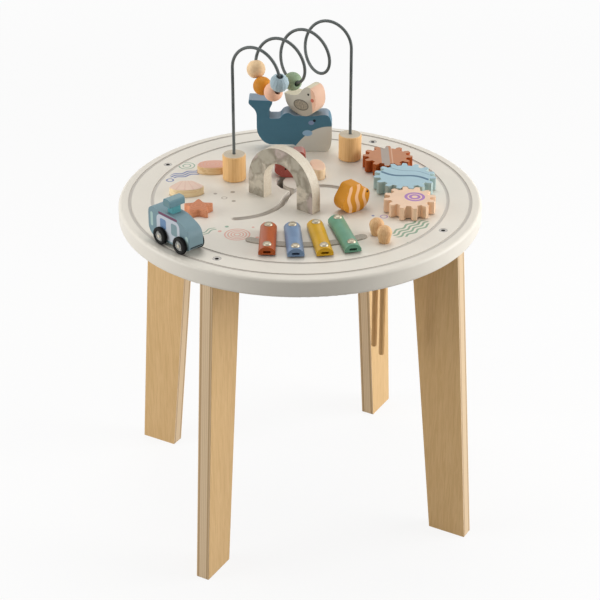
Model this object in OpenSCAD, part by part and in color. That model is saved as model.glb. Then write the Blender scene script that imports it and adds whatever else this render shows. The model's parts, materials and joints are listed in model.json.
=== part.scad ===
// Toddler activity table: a round top on four plywood legs, with a bead maze, gears,
// a xylophone, a ring road for a car and sea figures. Millimetres, +Z up, the origin on the
// floor under the middle of the top, the xylophone on the -Y side.

/* [Table top] */
// Diameter of the round top
top_d = 450; // [440:1:480]
// Height of the top's upper face over the floor
table_h = 425; // [380:5:460]
// Thickness of the top
top_t = 24; // [22:1:30]
// Radius that rounds the rim
rim_r = 5; // [2:0.5:9]
// Distance from the rim to the outer ring groove of the road
ring_edge = 14; // [11:0.5:17]
// Distance between the two ring grooves
ring_gap = 28; // [26:0.5:30]
// Width of the ring grooves
ring_w = 4; // [2:0.5:5]
// Depth of the ring grooves
ring_depth = 1; // [0.4:0.1:2]

/* [Legs] */
// Thickness of the leg boards
leg_t = 18; // [15:1:21]
// Width of a leg board where it meets the top
leg_top_w = 62; // [56:1:68]
// Width of a leg board at the floor
leg_foot_w = 50; // [40:1:60]
// Distance from the rim to the leg's outer edge, measured under the top
leg_inset = 5; // [4:0.5:9]
// How far the foot's outer edge stands outside the leg's upper outer edge
leg_splay = 28; // [0:1:40]
// Depth of the pocket under the top that takes the leg
pocket_depth = 4; // [2:0.5:6]
// Gap around a board or a loose shape in its recess
wood_gap = 0.5; // [0.3:0.1:0.8]

/* [Leg bolts] */
// Distance of the bolts from the leg's inner edge
bolt_in = 38; // [31:1:44]
// Diameter of the bolt's shank
bolt_d = 6; // [5:0.5:8]
// Diameter of the countersunk bolt head
bolt_head_d = 11; // [10:0.5:14]
// Length of the bolt over all
bolt_len = 60; // [50:1:80]
// Diameter of the threaded insert in the leg
insert_d = 11; // [10:0.5:13]
// Length of the threaded insert
insert_len = 24; // [16:1:30]
// Radial gap of a screw, dowel or pin in its hole
fit_gap = 0.1; // [0.05:0.05:0.2]

/* [Screws from below] */
// Diameter of the wood screws under the top
screw_d = 4; // [3:0.5:5]
// Diameter of their countersunk heads
screw_head_d = 8; // [7:0.5:9]
// How far they reach into the post, whale or arch
screw_grip = 11; // [8:1:13]

/* [Bead maze] */
// Start of the coil's axis on plan, from the inner edge of the back right leg
coil_from_leg = [-155.7, -61.9]; // [-200:0.1:0]
// Direction of the coil's axis on plan, in degrees
coil_turn = 30.5; // [27:0.5:34]
// Height of the coil's axis over the top
coil_h = 149.8; // [145:0.1:160]
// Radius of the coil, to the middle of the wire
coil_r = 31; // [30:0.5:33]
// Distance between neighbouring turns
coil_pitch = 44.5; // [42:0.5:46]
// Diameter of the wire
wire_d = 4; // [3:0.25:5]
// Diameter of the wooden posts
post_d = 29.5; // [25:0.5:34]
// Height of the wooden posts
post_h = 34.5; // [30:0.5:40]
// Depth of the wire's hole in a post
wire_seat = 14; // [10:1:16]

/* [Beads] */
// Diameter of the round beads
bead_d = 23.4; // [22:0.1:24]
// Diameter of the hole through a bead
bead_bore_d = 8; // [7:0.25:9]
// Gap between the wire and the mouths of the hole, where a bead hangs on it
bead_gap = 0.3; // [0.2:0.05:0.5]

/* [Whale and bird] */
// Middle of the whale's foot on plan
whale_at = [33, 146]; // [-200:0.5:200]
// Direction that the whale faces, in degrees
whale_turn = -17; // [-20:0.5:-14]
// Thickness of the whale block
whale_t = 24; // [20:1:27]
// Height of the flat on the whale's back that carries the bird
whale_back_h = 50.5; // [47:0.5:54]
// Direction that the bird faces, in degrees
bird_turn = -48; // [-90:1:90]
// Thickness of the bird block
bird_t = 24; // [18:1:26]
// Diameter of the bird's pin
bird_pin_d = 5; // [4:0.5:7]
// Length of the bird's pin
bird_pin_len = 24; // [18:1:30]

/* [Stone arch] */
// Middle of the arch on plan
arch_at = [-23.5, -10]; // [-100:0.5:100]
// Direction of the arch's span, in degrees
arch_turn = -55; // [-59:0.5:-51]
// Span of the arch outside its feet
arch_span = 102; // [95:1:108]
// Clear width between the feet
arch_gap = 53; // [43:1:58]
// Height of the arch
arch_h = 72; // [68:1:80]
// Height of the arch above the top of its passage
arch_crown = 20; // [16:1:28]
// Thickness of the arch
arch_t = 15; // [13:1:20]

/* [Tracks and sliders] */
// Left end of the long track on plan
track_at = [-93, -41]; // [-120:0.5:120]
// Direction in which the long track starts, in degrees
track_turn = -10; // [-14:0.5:-6]
// Radius of the long track's first bend
bend_a_r = 67.5; // [65:0.5:70]
// Angle of the long track's first bend
bend_a_deg = 76; // [72:0.5:80]
// Radius of the long track's second bend
bend_b_r = 45; // [43:0.5:47]
// Angle of the long track's second bend
bend_b_deg = 208; // [200:1:216]
// Middle of the short track's bend on plan
short_at = [11, 41]; // [-60:0.5:60]
// Radius of the short track's bend
short_r = 25.5; // [24:0.5:27]
// Width of the track slots
slot_w = 8; // [7:0.5:10]
// Width of the slot below the ledge
slot_under_w = 17; // [15:0.5:18]
// Thickness of the ledge that the keepers run under
ledge_t = 10; // [8:0.5:14]
// Thickness of the board that closes the tracks from below
track_floor = 4; // [3:0.5:6]
// Diameter of a slider's stem
stem_d = 6.4; // [5:0.2:6.8]
// Thickness of a keeper disc
keeper_t = 4; // [3:0.5:5]
// Gap between a slider and the top
slide_gap = 0.4; // [0.3:0.1:0.7]
// Thickness of the fish and the crab
figure_t = 18; // [15:1:19]
// Height of the fish
fish_h = 36; // [32:1:40]
// Height of the crab
crab_h = 36; // [32:1:40]

/* [Gears] */
// Middle of the blue gear on plan
gear_at = [132.2, -12.5]; // [-140:0.1:140]
// Direction from the blue gear to the orange gear, in degrees
orange_way = 91.4; // [88:0.1:96]
// Direction from the blue gear to the peach gear, in degrees
peach_way = -103.1; // [-107:0.1:-99]
// Distance between meshing gears
gear_step = 64.5; // [64:0.1:65]
// Teeth of the blue gear
blue_teeth = 15; // [14:1:16]
// Teeth of the orange and the peach gear
small_teeth = 12; // [11:1:13]
// Height of a tooth over the pitch circle
tooth_out = 3.2; // [2.8:0.1:3.4]
// Depth of a tooth gap under the pitch circle
tooth_in = 4; // [3.6:0.1:4.6]
// Play between meshing teeth, along the pitch circle
tooth_play = 1; // [0.7:0.1:1.4]
// Thickness of the gears
gear_t = 16; // [12:1:20]
// Diameter of the gear axles
axle_d = 8; // [6:0.5:10]
// Thickness of the washer under each gear
washer_t = 1; // [0.6:0.1:1.6]

/* [Xylophone] */
// Distance of the outer screws from the table's axis
key_screw_r = 162; // [158:0.5:164]
// Direction of the first bar's outer screw, in degrees
key_first_deg = -119.3; // [-122:0.1:-116]
// Step between the bars, in degrees
key_step_deg = 11.8; // [11.2:0.1:12.2]
// Direction of the first bar, in degrees
key_turn = 73.5; // [71:0.5:76]
// Change of direction from bar to bar, in degrees
key_fan_deg = 4.6; // [3.8:0.1:5.4]
// Distance between the screws of the shortest bar
key_span = 52; // [48:0.5:54]
// Growth of that distance from bar to bar
key_grow = 5; // [3:0.5:5.5]
// Distance from a screw to the end of its bar
key_over = 8; // [7:0.5:9]
// Width of the bars
key_w = 20; // [18:0.5:21]
// Radius of the bars' arched back
key_arch_r = 11; // [10.5:0.5:14]
// Height of the bars' flat underside over the top
key_lift = 2; // [1.75:0.25:4]
// Width of the hollow along a bar
key_slot_w = 9; // [7:0.5:12]
// Height of the hollow along a bar
key_slot_h = 2.8; // [2:0.1:4]
// Thickness of a bar's metal under the hollow
key_floor = 2; // [1.5:0.25:3]
// Height of the bars' ridge over the top
key_h = 12; // [10:0.5:15]
// Diameter of the domed key screws
key_head_d = 10.5; // [9:0.5:12]
// Diameter of the key cushions
cushion_d = 9; // [8:0.5:10]
// Radius of the damper strip's bend
strip_r = 136.5; // [134:0.5:139]
// Width of the damper strip
strip_w = 12; // [9:0.5:14]
// Thickness of the damper strip
strip_t = 1.5; // [1:0.25:2.5]

/* [Mallets] */
// Places of the two mallets on plan
mallet_at = [[58.5, -128], [61, -150]]; // [-160:0.5:160]
// Diameter of the mallet heads
mallet_head_d = 18; // [16:0.5:20]
// Height of the mallet heads
mallet_head_h = 21.5; // [19:0.5:25]
// Diameter of the mallet sticks
mallet_stick_d = 7; // [5:0.5:9]
// How far the sticks hang below the top's upper face
mallet_hang = 152; // [120:1:200]
// Radial gap around a stick in its hole
mallet_gap = 0.5; // [0.4:0.1:1]

/* [Car] */
// Direction of the car from the table's axis, in degrees
car_angle = -152.5; // [-160:0.5:-145]
// Width of the car body
car_w = 20.5; // [18:0.5:22]
// Height of the body's flat roof over the top
car_roof_h = 42; // [40:0.5:46]
// Height of the roof bar over the flat roof
car_bar_h = 19; // [16:0.5:22]
// Distance between the axles
car_base = 36; // [33:0.5:39]
// Diameter of the tyres
tyre_d = 21.5; // [19:0.5:23]
// Width of the tyres
tyre_w = 5.5; // [4.5:0.25:7]
// Diameter of the hubs
hub_d = 13; // [11:0.5:15]
// Diameter of the car's axles
car_axle_d = 4; // [3:0.5:5]

/* [Loose shapes] */
// Place of the pink oval on plan
oval_at = [-87, 103]; // [-160:0.5:160]
// Place of the pale fan on plan
fan_at = [-133.5, 48.5]; // [-160:0.5:160]
// Place of the starfish on plan
star_at = [-132, -13]; // [-160:0.5:160]
// Place of the peach pebble on plan
pebble_at = [38.5, 56.5]; // [-160:0.5:160]
// Depth of the recesses that the shapes sit in
recess = 4; // [3:0.5:6]
// How far the shapes stand proud of the top
shape_h = 10; // [8:0.5:14]
// How far the peach pebble stands proud of the top
pebble_h = 14; // [10:0.5:18]

/* [Hidden] */
$fn = 64;
eps = 0.5;

top_r = top_d / 2;
ring_out_r = top_r - ring_edge;
ring_in_r = ring_out_r - ring_gap;
under_z = table_h - top_t;

// Corners of the legs, as directions on plan
leg_ways = [-135, -45, 45, 135];
leg_out_r = top_r - leg_inset;
leg_in_r = leg_out_r - leg_top_w;
foot_out_r = leg_out_r + leg_splay;
bolt_r = leg_in_r + bolt_in;
leg_top_z = under_z + pocket_depth;
bolt_head_h = (bolt_head_d - bolt_d) / 2;
bolt_sink = 0.3;
insert_sink = 2;

// A screw from below has its head flush with the underside
screw_head_h = (screw_head_d - screw_d) / 2;
screw_len = top_t + screw_grip;

// The coil's right post keeps its distance from the leg beside it
coil_at = leg_in_r * [cos(leg_ways[2]), sin(leg_ways[2])] + coil_from_leg;

// Axis of the coil, its sideways direction and the point of the wire after u turns
coil_axis = [cos(coil_turn), sin(coil_turn), 0];
coil_back = [-sin(coil_turn), cos(coil_turn), 0];
coil_turns = 3;
quarter = 0.25;
// Share of a turn by which the coil runs on along its axis in the bend to an upright
bend_run = 0.17;
function ease(t) = bend_run * t * t * (3 - 2 * t) + quarter * t * t * (t - 1);
function run(u) = u < 0 ? -bend_run + ease(1 + u / quarter)
    : u > coil_turns ? coil_turns + bend_run - ease(1 - (u - coil_turns) / quarter)
    : u;
function wire_at(u) = [coil_at.x, coil_at.y, table_h + coil_h] + coil_axis * coil_pitch * run(u)
    + [0, 0, coil_r * cos(360 * u)] - coil_back * coil_r * sin(360 * u);
turn_rings = 36;
coil_points = [for (i = [-turn_rings * quarter : turn_rings * (coil_turns + quarter)])
    wire_at(i / turn_rings)];
foot_z = table_h + post_h - wire_seat;
left_end = coil_points[0];
right_end = coil_points[len(coil_points) - 1];
wire_points = concat([[left_end.x, left_end.y, foot_z],
    [left_end.x, left_end.y, table_h + post_h + post_d]],
    coil_points,
    [[right_end.x, right_end.y, table_h + post_h + post_d], [right_end.x, right_end.y, foot_z]]);
coil_gap = min([for (i = [turn_rings + 4 : len(coil_points) - 1], j = [-4 : 4])
    norm(coil_points[i] - coil_points[i - turn_rings + j])]) - wire_d;
echo(least_gap_between_turns = coil_gap);
post_at = [[left_end.x, left_end.y], [right_end.x, right_end.y]];

// Places of the beads along the wire, in turns from the first crest
natural_u = 0.685;
orange_u = 0.563;
peach_u = 0.43;
blue_u = 0.303;
green_u = 1.5;
coil_lead = coil_pitch / (2 * PI);
bead_path_r = coil_r + pow(coil_lead, 2) / coil_r;
// The wire bends inwards between the middle of a bead's straight hole and its mouths
bore_sag = (pow(bead_d, 2) - pow(bead_bore_d, 2)) / 8 / bead_path_r;
bead_drop = (bead_bore_d - wire_d) / 2 - bead_gap - bore_sag;
function bead_out(u) = [0, 0, cos(360 * u)] - coil_back * sin(360 * u);
function bead_along(u) = let (around = [0, 0, sin(360 * u)] + coil_back * cos(360 * u),
    v = coil_axis * coil_lead - around * coil_r) v / norm(v);

// Figures stand on the top, and their holes are sunk from below
function plan(at, turn, p) = at + [p.x * cos(turn) - p.y * sin(turn), p.x * sin(turn) + p.y * cos(turn)];
whale_screw_at = [for (x = [14, 36]) plan(whale_at, whale_turn, [x, 0])];
bird_on = 14;
bird_at = plan(whale_at, whale_turn, [bird_on, 0]);
bird_gap = 0.3;
bird_seat = bird_pin_len / 2;
foot_w = (arch_span - arch_gap) / 2;
arch_screw_at = [for (s = [-1, 1]) plan(arch_at, arch_turn, [s * (arch_span - foot_w) / 2, 0])];
under_screw_at = concat(post_at, whale_screw_at, arch_screw_at);

// Bends of the tracks: the first one turns left, the second one right
track_mid_turn = track_turn + bend_a_deg;
bend_a_at = track_at + bend_a_r * [-sin(track_turn), cos(track_turn)];
track_mid = bend_a_at + bend_a_r * [sin(track_mid_turn), -cos(track_mid_turn)];
bend_b_at = track_mid + bend_b_r * [sin(track_mid_turn), -cos(track_mid_turn)];
bend_b_last = track_mid_turn + 90 - bend_b_deg;
short_first_deg = 98;
short_last_deg = 230;
fish_way = -48;
fish_turn = 22;
fish_at = bend_b_at + bend_b_r * [cos(fish_way), sin(fish_way)];
crab_way = 107;
crab_turn = -15;
crab_at = short_at + short_r * [cos(crab_way), sin(crab_way)];
stem_grip = 14;
keeper_gap = 0.6;
keeper_d = slot_under_w - 2;
keeper_z = table_h - ledge_t - keeper_gap - keeper_t;

// Pitch radii share the distance between two meshing gears by their teeth
blue_pitch_r = gear_step * blue_teeth / (blue_teeth + small_teeth);
small_pitch_r = gear_step - blue_pitch_r;
pressure = 20;
gear_gap = 0.2;
gear_z = table_h + washer_t + gear_gap;
axle_top_gap = 4;
axle_seat = top_t / 2;
orange_gear_at = gear_at + gear_step * [cos(orange_way), sin(orange_way)];
peach_gear_at = gear_at + gear_step * [cos(peach_way), sin(peach_way)];
gear_places = [gear_at, orange_gear_at, peach_gear_at];
blue_phase = 0;
// Turn of a small gear that puts its tooth in the blue gear's gap in direction way
function mesh_turn(way) = way + 180 - ((blue_phase - way) * blue_teeth + 180) / small_teeth;

// Half a tooth's angle at radius r on a gear of pitch radius p and n teeth, as an involute flank
function roll(x) = tan(x) * 180 / PI - x;
function flank(p, n, r) = let (base = p * cos(pressure), x = r > base ? acos(base / r) : 0)
    90 / n - tooth_play / 4 / p * 180 / PI + roll(pressure) - roll(x);
function tooth_side(p, n) = let (out = p + tooth_out, low = p - tooth_in)
    [for (r = [low, p * cos(pressure), p, p + tooth_out / 2, out]) [r, flank(p, n, r)]];
function polar(r, a) = [r * cos(a), r * sin(a)];

// Places of the xylophone's bars
function key_angle(i) = key_first_deg + key_step_deg * i;
function key_way(i) = key_turn + key_fan_deg * i;
function key_length(i) = key_span + key_grow * i;
function key_at(i) = polar(key_screw_r, key_angle(i));
key_count = 4;
key_screw_at = [for (i = [0 : key_count - 1], x = [0, key_length(i)]) plan(key_at(i), key_way(i), [x, 0])];
key_screw_d = 4;
key_screw_grip = 12;
key_head_h = 2.6;
strip_first_deg = -131;
strip_last_deg = -73;

// Car's own axes: x forward round the road, y towards the table's axis
wheel_gap = 0.3;
gauge = car_w + tyre_w + 2 * wheel_gap;
road_r = ring_out_r - gauge / 2;
car_axle_z = table_h + tyre_d / 2 + wheel_gap;
car_axle_x = 3.5;
car_floor = 5;
car_axle_len = gauge + tyre_w;

// Outline points [x, y, cut] with each corner rounded over the length cut of its two sides
corner_steps = 5;
function toward(a, b, d) = a + (b - a) * min(d / norm(b - a), 0.5);
function corner(a, b, c, d) = let (p = toward(b, a, d), q = toward(b, c, d))
    [for (i = [0 : corner_steps]) let (t = i / corner_steps)
        p * pow(1 - t, 2) + b * 2 * t * (1 - t) + q * pow(t, 2)];
function flat(p) = [p.x, p.y];
function rounded(pts) = let (n = len(pts)) [for (i = [0 : n - 1])
    for (p = corner(flat(pts[(i + n - 1) % n]), flat(pts[i]), flat(pts[(i + 1) % n]), pts[i][2])) p];
function mirrored(pts) = concat(pts, [for (i = [len(pts) - 1 : -1 : 0]) [-pts[i].x, pts[i].y, pts[i][2]]]);

// A block sawn from a board: the outline stands up along x, the board's thickness lies along y
module sawn(outline, thickness) {
    rotate([90, 0, 0])
        linear_extrude(thickness, center = true) polygon(rounded(outline));
}

module on_top(at, turn = 0) {
    translate([at.x, at.y, table_h]) rotate([0, 0, turn]) children();
}

module spoke(way) {
    rotate([0, 0, way]) children();
}

// Points of an arc about at, without its first and last one when inner is set
function arc(at, r, a0, a1, n, inner = 0) =
    [for (i = [inner : n - inner]) at + polar(r, a0 + (a1 - a0) * i / n)];
function end_cap(at, width, from) = arc(at, width / 2, from, from + 180, 12, 1);
bend_steps = 16;

// Outline of the long track with round ends: along its right side and back along its left one
function long_track(width) = let (h = width / 2, a0 = track_turn - 90, a1 = track_mid_turn - 90,
    b0 = track_mid_turn + 90, b1 = bend_b_last) concat(
    arc(bend_a_at, bend_a_r + h, a0, a1, bend_steps),
    arc(bend_b_at, bend_b_r - h, b0, b1, 2 * bend_steps),
    end_cap(bend_b_at + polar(bend_b_r, b1), width, b1 + 180),
    arc(bend_b_at, bend_b_r + h, b1, b0, 2 * bend_steps),
    arc(bend_a_at, bend_a_r - h, a1, a0, bend_steps),
    end_cap(track_at, width, a0 + 180));

// Outline of a single bend about at with round ends
function bend_outline(at, r, a0, a1, width) = let (h = width / 2) concat(
    arc(at, r + h, a0, a1, bend_steps),
    end_cap(at + polar(r, a1), width, a1),
    arc(at, r - h, a1, a0, bend_steps),
    end_cap(at + polar(r, a0), width, a0 + 180));
function short_track(width) = bend_outline(short_at, short_r, short_first_deg, short_last_deg, width);

module track_cut(width, z0, z1) {
    for (outline = [long_track(width), short_track(width)])
        translate([0, 0, z0]) linear_extrude(z1 - z0) polygon(outline);
}

module bolt_shape(gap) {
    translate([0, 0, -bolt_len]) cylinder(d = bolt_d + 2 * gap, h = bolt_len);
    translate([0, 0, -bolt_head_h])
        cylinder(d1 = bolt_d + 2 * gap, d2 = bolt_head_d + 2 * gap, h = bolt_head_h);
}

// A wood screw that points up, its head flush with z = 0
module screw_shape(gap) {
    cylinder(d = screw_d + 2 * gap, h = screw_len + 2 * gap);
    cylinder(d1 = screw_head_d + 2 * gap, d2 = screw_d + 2 * gap, h = screw_head_h);
}

module under_screws(places) {
    for (p = places) translate([p.x, p.y, under_z]) screw_shape(0);
}

module screw_holes(places) {
    for (p = places) translate([p.x, p.y, under_z]) screw_shape(fit_gap);
}

// Outlines of the loose shapes, on plan
oval_outline = [[-23, -3, 12], [-10, -13, 14], [16, -12, 14], [23, 2, 12], [10, 13, 14], [-14, 12, 14]];
fan_outline = [[-8, -14, 3], [8, -14, 3], [23, 4, 5], [16, 12, 4], [6, 15, 4], [-6, 15, 4], [-16, 12, 4],
    [-23, 4, 5]];
star_out_r = 21;
star_in_r = 10;
star_outline = [for (i = [0 : 9]) let (p = polar(i % 2 == 0 ? star_out_r : star_in_r, 36 * i))
    [p.x, p.y, i % 2 == 0 ? 6 : 3]];
pebble_outline = [[-9, -12, 8], [0, -20, 8], [9, -12, 8], [10, 8, 10], [3, 19, 8], [-8, 16, 10]];

module shape_block(outline, height) {
    linear_extrude(height) polygon(rounded(outline));
}

// Recess for a loose shape: the outline with a gap all round
module shape_recess(at, turn, outline) {
    on_top(at, turn) translate([0, 0, -recess])
        linear_extrude(recess + eps) offset(delta = wood_gap) polygon(rounded(outline));
}

oval_turn = -10;
fan_turn = 170;
star_turn = 5;
pebble_turn = -6;

// Round top with all its cuts
module table_top() {
    color("#e4ded2") difference() {
        translate([0, 0, under_z]) rotate_extrude() {
            square([top_r - rim_r, top_t]);
            translate([0, rim_r]) square([top_r, top_t - 2 * rim_r]);
            for (z = [rim_r, top_t - rim_r]) translate([top_r - rim_r, z]) circle(rim_r);
        }
        for (r = [ring_out_r, ring_in_r])
            translate([0, 0, table_h - ring_depth])
                rotate_extrude() translate([r - ring_w / 2, 0]) square([ring_w, ring_depth + eps]);
        for (way = leg_ways) spoke(way) {
            translate([leg_in_r - wood_gap, -leg_t / 2 - wood_gap, under_z - eps])
                cube([leg_top_w + 2 * wood_gap, leg_t + 2 * wood_gap, pocket_depth + eps]);
            translate([bolt_r, 0, table_h - bolt_sink]) bolt_shape(fit_gap);
            translate([bolt_r, 0, table_h - bolt_sink])
                cylinder(d = bolt_head_d + 2 * fit_gap, h = bolt_sink + eps);
        }
        track_cut(slot_w, table_h - ledge_t - eps, table_h + eps);
        track_cut(slot_under_w, under_z + track_floor, table_h - ledge_t);
        screw_holes(under_screw_at);
        for (p = gear_places) translate([p.x, p.y, table_h - axle_seat])
            cylinder(d = axle_d + 2 * fit_gap, h = axle_seat + eps);
        for (p = key_screw_at) translate([p.x, p.y, table_h - key_screw_grip - fit_gap])
            cylinder(d = key_screw_d + 2 * fit_gap, h = key_screw_grip + fit_gap + eps);
        for (p = mallet_at) translate([p.x, p.y, under_z - eps])
            cylinder(d = mallet_stick_d + 2 * mallet_gap, h = top_t + 2 * eps);
        shape_recess(oval_at, oval_turn, oval_outline);
        shape_recess(fan_at, fan_turn, fan_outline);
        shape_recess(star_at, star_turn, star_outline);
        shape_recess(pebble_at, pebble_turn, pebble_outline);
    }
}

// Plywood leg board, drilled from above for its insert and bolt
module leg(way) {
    color("#cdaa7d") spoke(way) difference() {
        rotate([90, 0, 0]) linear_extrude(leg_t, center = true)
            polygon([[leg_in_r, leg_top_z], [leg_out_r, leg_top_z], [foot_out_r, 0],
                [foot_out_r - leg_foot_w, 0]]);
        translate([bolt_r, 0, leg_top_z - insert_sink - insert_len])
            cylinder(d = insert_d + 2 * fit_gap, h = insert_len + insert_sink + eps);
        translate([bolt_r, 0, table_h - bolt_sink - bolt_len - fit_gap])
            cylinder(d = bolt_d + 2 * fit_gap, h = bolt_len);
    }
}

module leg_front_left() { leg(leg_ways[0]); }
module leg_front_right() { leg(leg_ways[1]); }
module leg_back_right() { leg(leg_ways[2]); }
module leg_back_left() { leg(leg_ways[3]); }

// Countersunk bolts with a hexagon socket
module leg_bolts() {
    socket_d = bolt_head_d / 2;
    color("#4a4a48") for (way = leg_ways) spoke(way)
        translate([bolt_r, 0, table_h - bolt_sink]) difference() {
            bolt_shape(0);
            translate([0, 0, -bolt_head_h + 1]) cylinder(d = socket_d, h = bolt_head_h, $fn = 6);
        }
}

module leg_inserts() {
    color("#b9a15e") for (way = leg_ways) spoke(way)
        translate([bolt_r, 0, leg_top_z - insert_sink - insert_len]) difference() {
            cylinder(d = insert_d, h = insert_len);
            translate([0, 0, -eps]) cylinder(d = bolt_d + 2 * fit_gap, h = insert_len + 2 * eps);
        }
}

// Turned post with eased edges, drilled for the wire and for its screw
module maze_post(at) {
    ease = 1.5;
    r = post_d / 2;
    color("#cda069") difference() {
        on_top(at) rotate_extrude() polygon([[0, 0], [r - ease, 0], [r, ease], [r, post_h - ease],
            [r - ease, post_h], [0, post_h]]);
        translate([at.x, at.y, foot_z]) cylinder(d = wire_d + 2 * fit_gap, h = wire_seat + eps);
        screw_holes([at]);
    }
}

module post_left() { maze_post(post_at[0]); }
module post_right() { maze_post(post_at[1]); }
module post_screws() { color("silver") under_screws(post_at); }

// Round tube swept along points, its rings set square to the run
function along(pts, i) = let (v = pts[min(i + 1, len(pts) - 1)] - pts[max(i - 1, 0)]) v / norm(v);
module tube(pts, d, sides, side_way) {
    rings = [for (i = [0 : len(pts) - 1]) let (t = along(pts, i), s = cross(t, side_way),
        a = s / norm(s), b = cross(t, a))
        for (k = [0 : sides - 1]) pts[i] + d / 2 * (cos(360 * k / sides) * a + sin(360 * k / sides) * b)];
    last = (len(pts) - 1) * sides;
    walls = [for (i = [0 : len(pts) - 2], k = [0 : sides - 1]) let (m = (k + 1) % sides, n = i * sides)
        each [[n + k, n + m, n + sides + k], [n + m, n + sides + m, n + sides + k]]];
    caps = [[for (k = [sides - 1 : -1 : 0]) k], [for (k = [0 : sides - 1]) last + k]];
    polyhedron(rings, [for (f = concat(walls, caps)) [for (i = [len(f) - 1 : -1 : 0]) f[i]]]);
}

module maze_wire() {
    color("#5f6464") tube(wire_points, wire_d, 10, coil_axis);
}

// Bead on the wire after u turns, hanging on the mouths of its hole
module bead(u, tint) {
    at = wire_at(u) + bead_out(u) * bead_drop;
    way = bead_along(u);
    color(tint) translate(at) rotate([0, acos(way.z), atan2(way.y, way.x)]) difference() {
        sphere(d = bead_d);
        translate([0, 0, -bead_d]) cylinder(d = bead_bore_d, h = 2 * bead_d);
    }
}

module bead_natural() { bead(natural_u, "#dcb48c"); }
module bead_orange() { bead(orange_u, "#d78c28"); }
module bead_peach() { bead(peach_u, "#ebaf8c"); }
module bead_blue() { bead(blue_u, "#a5b9c3"); }
module bead_green() { bead(green_u, "#829673"); }

// Whale: belly on the top, tail raised with its fluke, a flat on the back for the bird
whale_outline = [[6, 0, 4], [45, 0, 8], [49, 14, 8], [49, 40, 8], [45, whale_back_h + 1.5, 8],
    [bird_on + 20, whale_back_h + 1.5, 5], [bird_on + 15, whale_back_h, 4], [bird_on - 15, whale_back_h, 4],
    [bird_on - 21, whale_back_h + 4.5, 4], [-14, whale_back_h + 3, 4], [-19, whale_back_h - 4, 3],
    [-33, whale_back_h - 4, 3], [-33, 58, 6], [-28.5, 67, 2], [-28.5, 71, 1.5],
    [-59, 72, 1.5], [-59.5, 67, 2],
    [-49, 56, 6], [-49, 26, 8], [-38, 10, 9], [1, 10, 4]];
module whale() {
    color("#3a5a6e") difference() {
        on_top(whale_at, whale_turn) sawn(whale_outline, whale_t);
        screw_holes(whale_screw_at);
        on_top(bird_at) translate([0, 0, whale_back_h - bird_seat])
            cylinder(d = bird_pin_d + 2 * fit_gap, h = bird_seat + eps);
    }
}
module whale_screws() { color("silver") under_screws(whale_screw_at); }

bird_outline = [[-25, 27, 2], [-21, 9, 10], [-4, 0, 9], [13, 0, 10], [24, 14, 10], [22, 38, 13], [7, 42, 8],
    [-3, 27, 7], [-14, 25, 5]];
module bird() {
    color("#afa591") difference() {
        on_top(bird_at, bird_turn) translate([0, 0, whale_back_h + bird_gap]) sawn(bird_outline, bird_t);
        on_top(bird_at) translate([0, 0, whale_back_h])
            cylinder(d = bird_pin_d + 2 * fit_gap, h = bird_pin_len - bird_seat + 1);
    }
}
module bird_pin() {
    color("#cda069") on_top(bird_at) translate([0, 0, whale_back_h - bird_seat])
        cylinder(d = bird_pin_d, h = bird_pin_len);
}

// Arch with straight feet under a round back
module stone_arch() {
    spring = arch_h - arch_span / 2;
    gap_spring = arch_h - arch_crown - arch_gap / 2;
    color("#a5a096") difference() {
        on_top(arch_at, arch_turn) rotate([90, 0, 0]) linear_extrude(arch_t, center = true) difference() {
            union() {
                translate([0, spring]) circle(d = arch_span);
                translate([-arch_span / 2, 0]) square([arch_span, spring]);
            }
            translate([0, gap_spring]) circle(d = arch_gap);
            translate([-arch_gap / 2, -eps]) square([arch_gap, gap_spring + eps]);
            translate([-arch_span / 2, -arch_span]) square([arch_span, arch_span]);
        }
        screw_holes(arch_screw_at);
    }
}
module arch_screws() { color("silver") under_screws(arch_screw_at); }

// A slider's figure with the hole for its stem
module slider_figure(at, turn, outline) {
    difference() {
        on_top(at, turn) translate([0, 0, slide_gap]) sawn(outline, figure_t);
        on_top(at) cylinder(d = stem_d + 2 * fit_gap, h = slide_gap + stem_grip + fit_gap);
    }
}

module slider_stem(at) {
    translate([at.x, at.y, keeper_z])
        cylinder(d = stem_d, h = table_h + slide_gap + stem_grip - keeper_z);
}

module slider_keeper(at) {
    translate([at.x, at.y, keeper_z]) difference() {
        cylinder(d = keeper_d, h = keeper_t);
        translate([0, 0, -eps]) cylinder(d = stem_d + 2 * fit_gap, h = keeper_t + 2 * eps);
    }
}

fish_outline = [[-11, 0, 4], [9, 0, 6], [18, 9, 7], [20, 22, 6], [14, fish_h - 8, 3], [8, fish_h - 7, 2],
    [5, fish_h, 2], [-11, fish_h, 4], [-15, fish_h - 7, 4], [-24, 17, 9], [-20, 6, 7]];
module fish() { color("#cd822d") slider_figure(fish_at, fish_turn, fish_outline); }
module fish_stem() { color("silver") slider_stem(fish_at); }
module fish_keeper() { color("#d8d4c8") slider_keeper(fish_at); }

// Half of the crab: round body below, a raised claw that bends inwards above
crab_half = [[9, 0, 3], [20, 8, 7], [16, 16, 3], [22, 24, 5], [19, crab_h, 7], [5, crab_h - 2, 2],
    [12, crab_h - 10, 3], [9, 18, 3]];
module crab() { color("#a84f47") slider_figure(crab_at, crab_turn, mirrored(crab_half)); }
module crab_stem() { color("silver") slider_stem(crab_at); }
module crab_keeper() { color("#d8d4c8") slider_keeper(crab_at); }

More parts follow.
